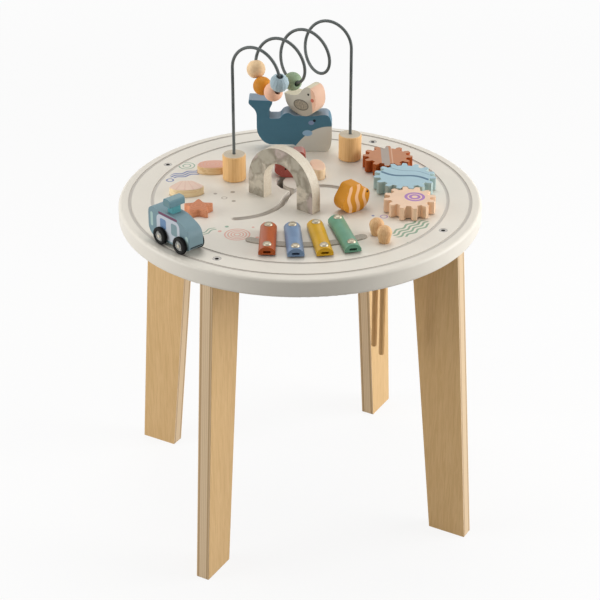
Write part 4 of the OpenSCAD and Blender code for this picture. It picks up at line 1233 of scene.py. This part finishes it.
# %% Mallets
# Part, pale and deep tone
mallet_woods = (("head", (232, 192, 144), (208, 160, 112)),
                ("stick", (232, 188, 130), (206, 158, 102)))
for letter in "ab":
    low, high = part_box("mallet_head_" + letter)
    middle = (low + high) / 2 / MM
    foot = (middle.x, middle.y, TABLE_H)
    for part, pale, deep in mallet_woods:
        node = "mallet_" + part + "_" + letter
        piece = copy_of(node, node + "_turned")
        ease(piece, 0.8, 3, 45)
        beech = bare_timber(node + " beech", tint(*pale), tint(*deep), foot, 0, "Z")
        hand_over(piece, beech, node)

# %% [markdown]
# ## Car
# The car is a painted block with a light bar on its roof. Pale side panels, two windows and light
# strips are printed on the sides. They could be thin plates, but they have no thickness, so they
# are masks like the prints on the top, laid out along the car.

# %% Car body
TYRE_R, TYRE_W, HUB_R = 10.75, 5.5, 6.5
BODY_W, WHEEL_GAP = 20.5, 0.6
GAUGE = BODY_W + TYRE_W + WHEEL_GAP
CAR_WAY = -152.5
CAR_R = ROAD_RINGS[0] - 0.5 * GAUGE
car_out = Vector((math.cos(math.radians(CAR_WAY)), math.sin(math.radians(CAR_WAY)), 0))
CAR_AT = (CAR_R * car_out.x, CAR_R * car_out.y, TABLE_H)
CAR_TURN = CAR_WAY + 90
# Centre, half sizes, corner and paint: panel, red line, two windows, two light strips
decals = (((-3, 0, 22), (21, THROUGH, 14.5), 7.0, (198, 204, 212)),
          ((-3, 0, 38.6), (17, THROUGH, 1.6), 1.0, (116, 72, 96)),
          ((-12, 0, 26), (5.5, THROUGH, 6.5), 2.6, (112, 142, 178)),
          ((8, 0, 25), (5.5, THROUGH, 7.5), 2.8, (132, 156, 162)),
          ((-33, 0, 26), (2.2, THROUGH, 9), 2.0, (172, 198, 192)),
          ((30.5, 0, 18), (2.4, THROUGH, 6.5), 2.2, (172, 198, 194)))


def car_print(tree, place, facing, colour):
    side = steep(tree, facing, SIDEWAYS, 0.6, 0.9)
    for centre, half, corner, shade in decals:
        mask = slab_mask(tree, place, centre, half, corner)
        colour = mix(tree, times(tree, mask, side), colour, tint(*shade))
    front = step(tree, axes(tree, facing)[0], 0.7, 0.9)
    bumper = slab_mask(tree, place, (36, 0, 10.5), (9, 9.5, 1.2), 1.0)
    colour = mix(tree, times(tree, front, bumper), colour, tint(48, 58, 64))
    return rubbed(tree, place, facing, SIDEWAYS, colour, 0.3, tint(150, 172, 178))


body = copy_of("car_body", "car_block")
ease(body, 1.8, 3)
hand_over(body, painted("car paint", tint(124, 150, 158), CAR_AT, CAR_TURN, car_print), "car_body")


# %% [markdown]
# The light bar is a rounded block across the roof on a short neck, with a lens printed on each
# end. The neck could be a piece with its own material, but it is one solid with the bar: its
# height alone tells where its own paint begins.

# %% Light bar
NECK_TOP = 50.8


def bar_print(tree, place, facing, colour):
    ends = steep(tree, facing, SIDEWAYS, 0.6, 0.9)
    lens = slab_mask(tree, place, (-2.8, 0, 56), (4.6, THROUGH, 3.4), 2.0)
    colour = mix(tree, times(tree, lens, ends), colour, tint(112, 142, 146))
    colour = mix(tree, looks_up(tree, facing), colour, tint(136, 162, 166))
    neck = step(tree, axes(tree, place)[2], NECK_TOP, NECK_TOP - 0.6)
    return mix(tree, neck, colour, tint(86, 152, 158))


bar = copy_of("car_roof", "car_light_bar")
ease(bar, 1.3, 3)
bar_paint = painted("light bar paint", tint(104, 140, 150), CAR_AT, CAR_TURN, bar_print)
hand_over(bar, bar_paint, "car_roof")

# %% [markdown]
# The wheels are black rubber tyres on silver hubs. A bevelled cylinder would pass from afar, but
# the groove in the tread and the dish of the hub catch the light. Each is half a profile, mirrored
# and then turned. The two on an axle are joined, because they roll as one.

# %% Tyres and hubs
half = TYRE_W / 2
tyre_side = [(HUB_R + 0.05, half - 0.3), (HUB_R + 0.5, half), (8.3, half), (8.6, half - 0.3),
             (8.9, half), (9.7, half - 0.15), (10.35, half - 0.6), (TYRE_R, half - 1.3)]
tread = [(TYRE_R, 1.0), (TYRE_R - 0.5, 0.85), (TYRE_R - 0.5, 0.35), (TYRE_R, 0.2)]
hub_side = [(2.05, half - 0.4), (2.9, half - 0.4), (3.1, half - 1.0), (4.2, half - 1.0),
            (4.5, half - 0.3), (5.1, half - 0.3), (5.4, half - 1.7), (HUB_R, half - 1.7)]
hub_paint = metal("silver lacquer", tint(136, 136, 133), tint(174, 174, 170), 0.34, 1.2)
wheel_parts = (("tyres", tyre_side + tread, 72, rubber), ("hubs", hub_side, 48, hub_paint))
stand = (-car_out).to_track_quat("Z", "Y").to_matrix().to_4x4()

for axle in ("front", "rear"):
    centre = joint_at["car_" + axle + "_axle_spin"]
    for part, outer_half, steps, skin in wheel_parts:
        profile = outer_half + [(r, -z) for r, z in reversed(outer_half)]
        pair = []
        for side in (-1, 1):
            wheel = turned("wheel", profile, steps)
            place = centre - car_out * side * GAUGE / 2
            wheel.data.transform(Matrix.Translation(place * MM) @ stand)
            pair.append(wheel)
        node = "car_" + axle + "_" + part
        pair = joined(node + "_turned", pair)
        smooth(pair, 35)
        hand_over(pair, skin, node)

# %% [markdown]
# ## Loose shapes
# Four blocks sit in shallow recesses and lift out. Their tops are painted and their sawn sides
# stay bare, so one finish mixes paint and timber by the way the surface faces.

# %% Marks on the loose shapes
MARK_SHARE = 0.4
FAN_HINGE, FAN_RIBS = 24.0, 22.0


def two_tone(side_pale, side_deep, mark=None):
    def pattern(tree, place, facing, colour):
        if mark:
            colour = mark(tree, place, colour)
        wood = use(tree, timber, Place=place, Pale=tint(*side_pale), Deep=tint(*side_deep))
        return mix(tree, looks_up(tree, facing), wood["Color"], colour)
    return pattern


def fan_ribs(tree, place, colour):
    x, y, z = axes(tree, place)
    way = calc(tree, "ARCTAN2", x, plus(tree, y, FAN_HINGE))
    ribs = step(tree, calc(tree, "SINE", times(tree, way, FAN_RIBS)), 0.6, 0.95)
    return mix(tree, times(tree, ribs, MARK_SHARE), colour, tint(222, 180, 164))


def soft_rings(tree, place, colour):
    rings = printed_ripple(tree, flattened(tree, place), (0, 0), 4.2, 5, 1.3)
    return mix(tree, times(tree, rings, MARK_SHARE), colour, tint(224, 150, 118))


# %% Loose shapes
# Node, place, turn, paint, pale and deep tone of the sides, and mark
shapes = (("shape_oval", (-87, 103), -10,
           (220, 174, 156), (238, 208, 164), (214, 178, 128), soft_rings),
          ("shape_fan", (-133.5, 48.5), 170,
           (234, 206, 188), (252, 232, 190), (240, 212, 164), fan_ribs),
          ("shape_star", (-132, -13), 5,
           (198, 128, 90), (230, 160, 122), (210, 136, 98), soft_rings),
          ("shape_pebble", (38.5, 56.5), -6,
           (246, 210, 182), (253, 230, 196), (243, 208, 164), None))
for node, at, turn, shade, pale, deep, mark in shapes:
    block = copy_of(node, node + "_block")
    ease(block, 1.4, 3)
    skin = painted(node + " paint", tint(*shade), (*at, TABLE_H), turn, two_tone(pale, deep, mark))
    hand_over(block, skin, node)

# %% [markdown]
# ## Size of the dressed table
# The dressed table has to stay inside the construction model's size, so the growth of its box
# over the construction model's box is printed.

# %% Sizes
low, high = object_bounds()
grown = [round((b - a) / MM, 2) for a, b in zip(cad_high - cad_low, high - low)]
print("size grown by", grown, "mm")
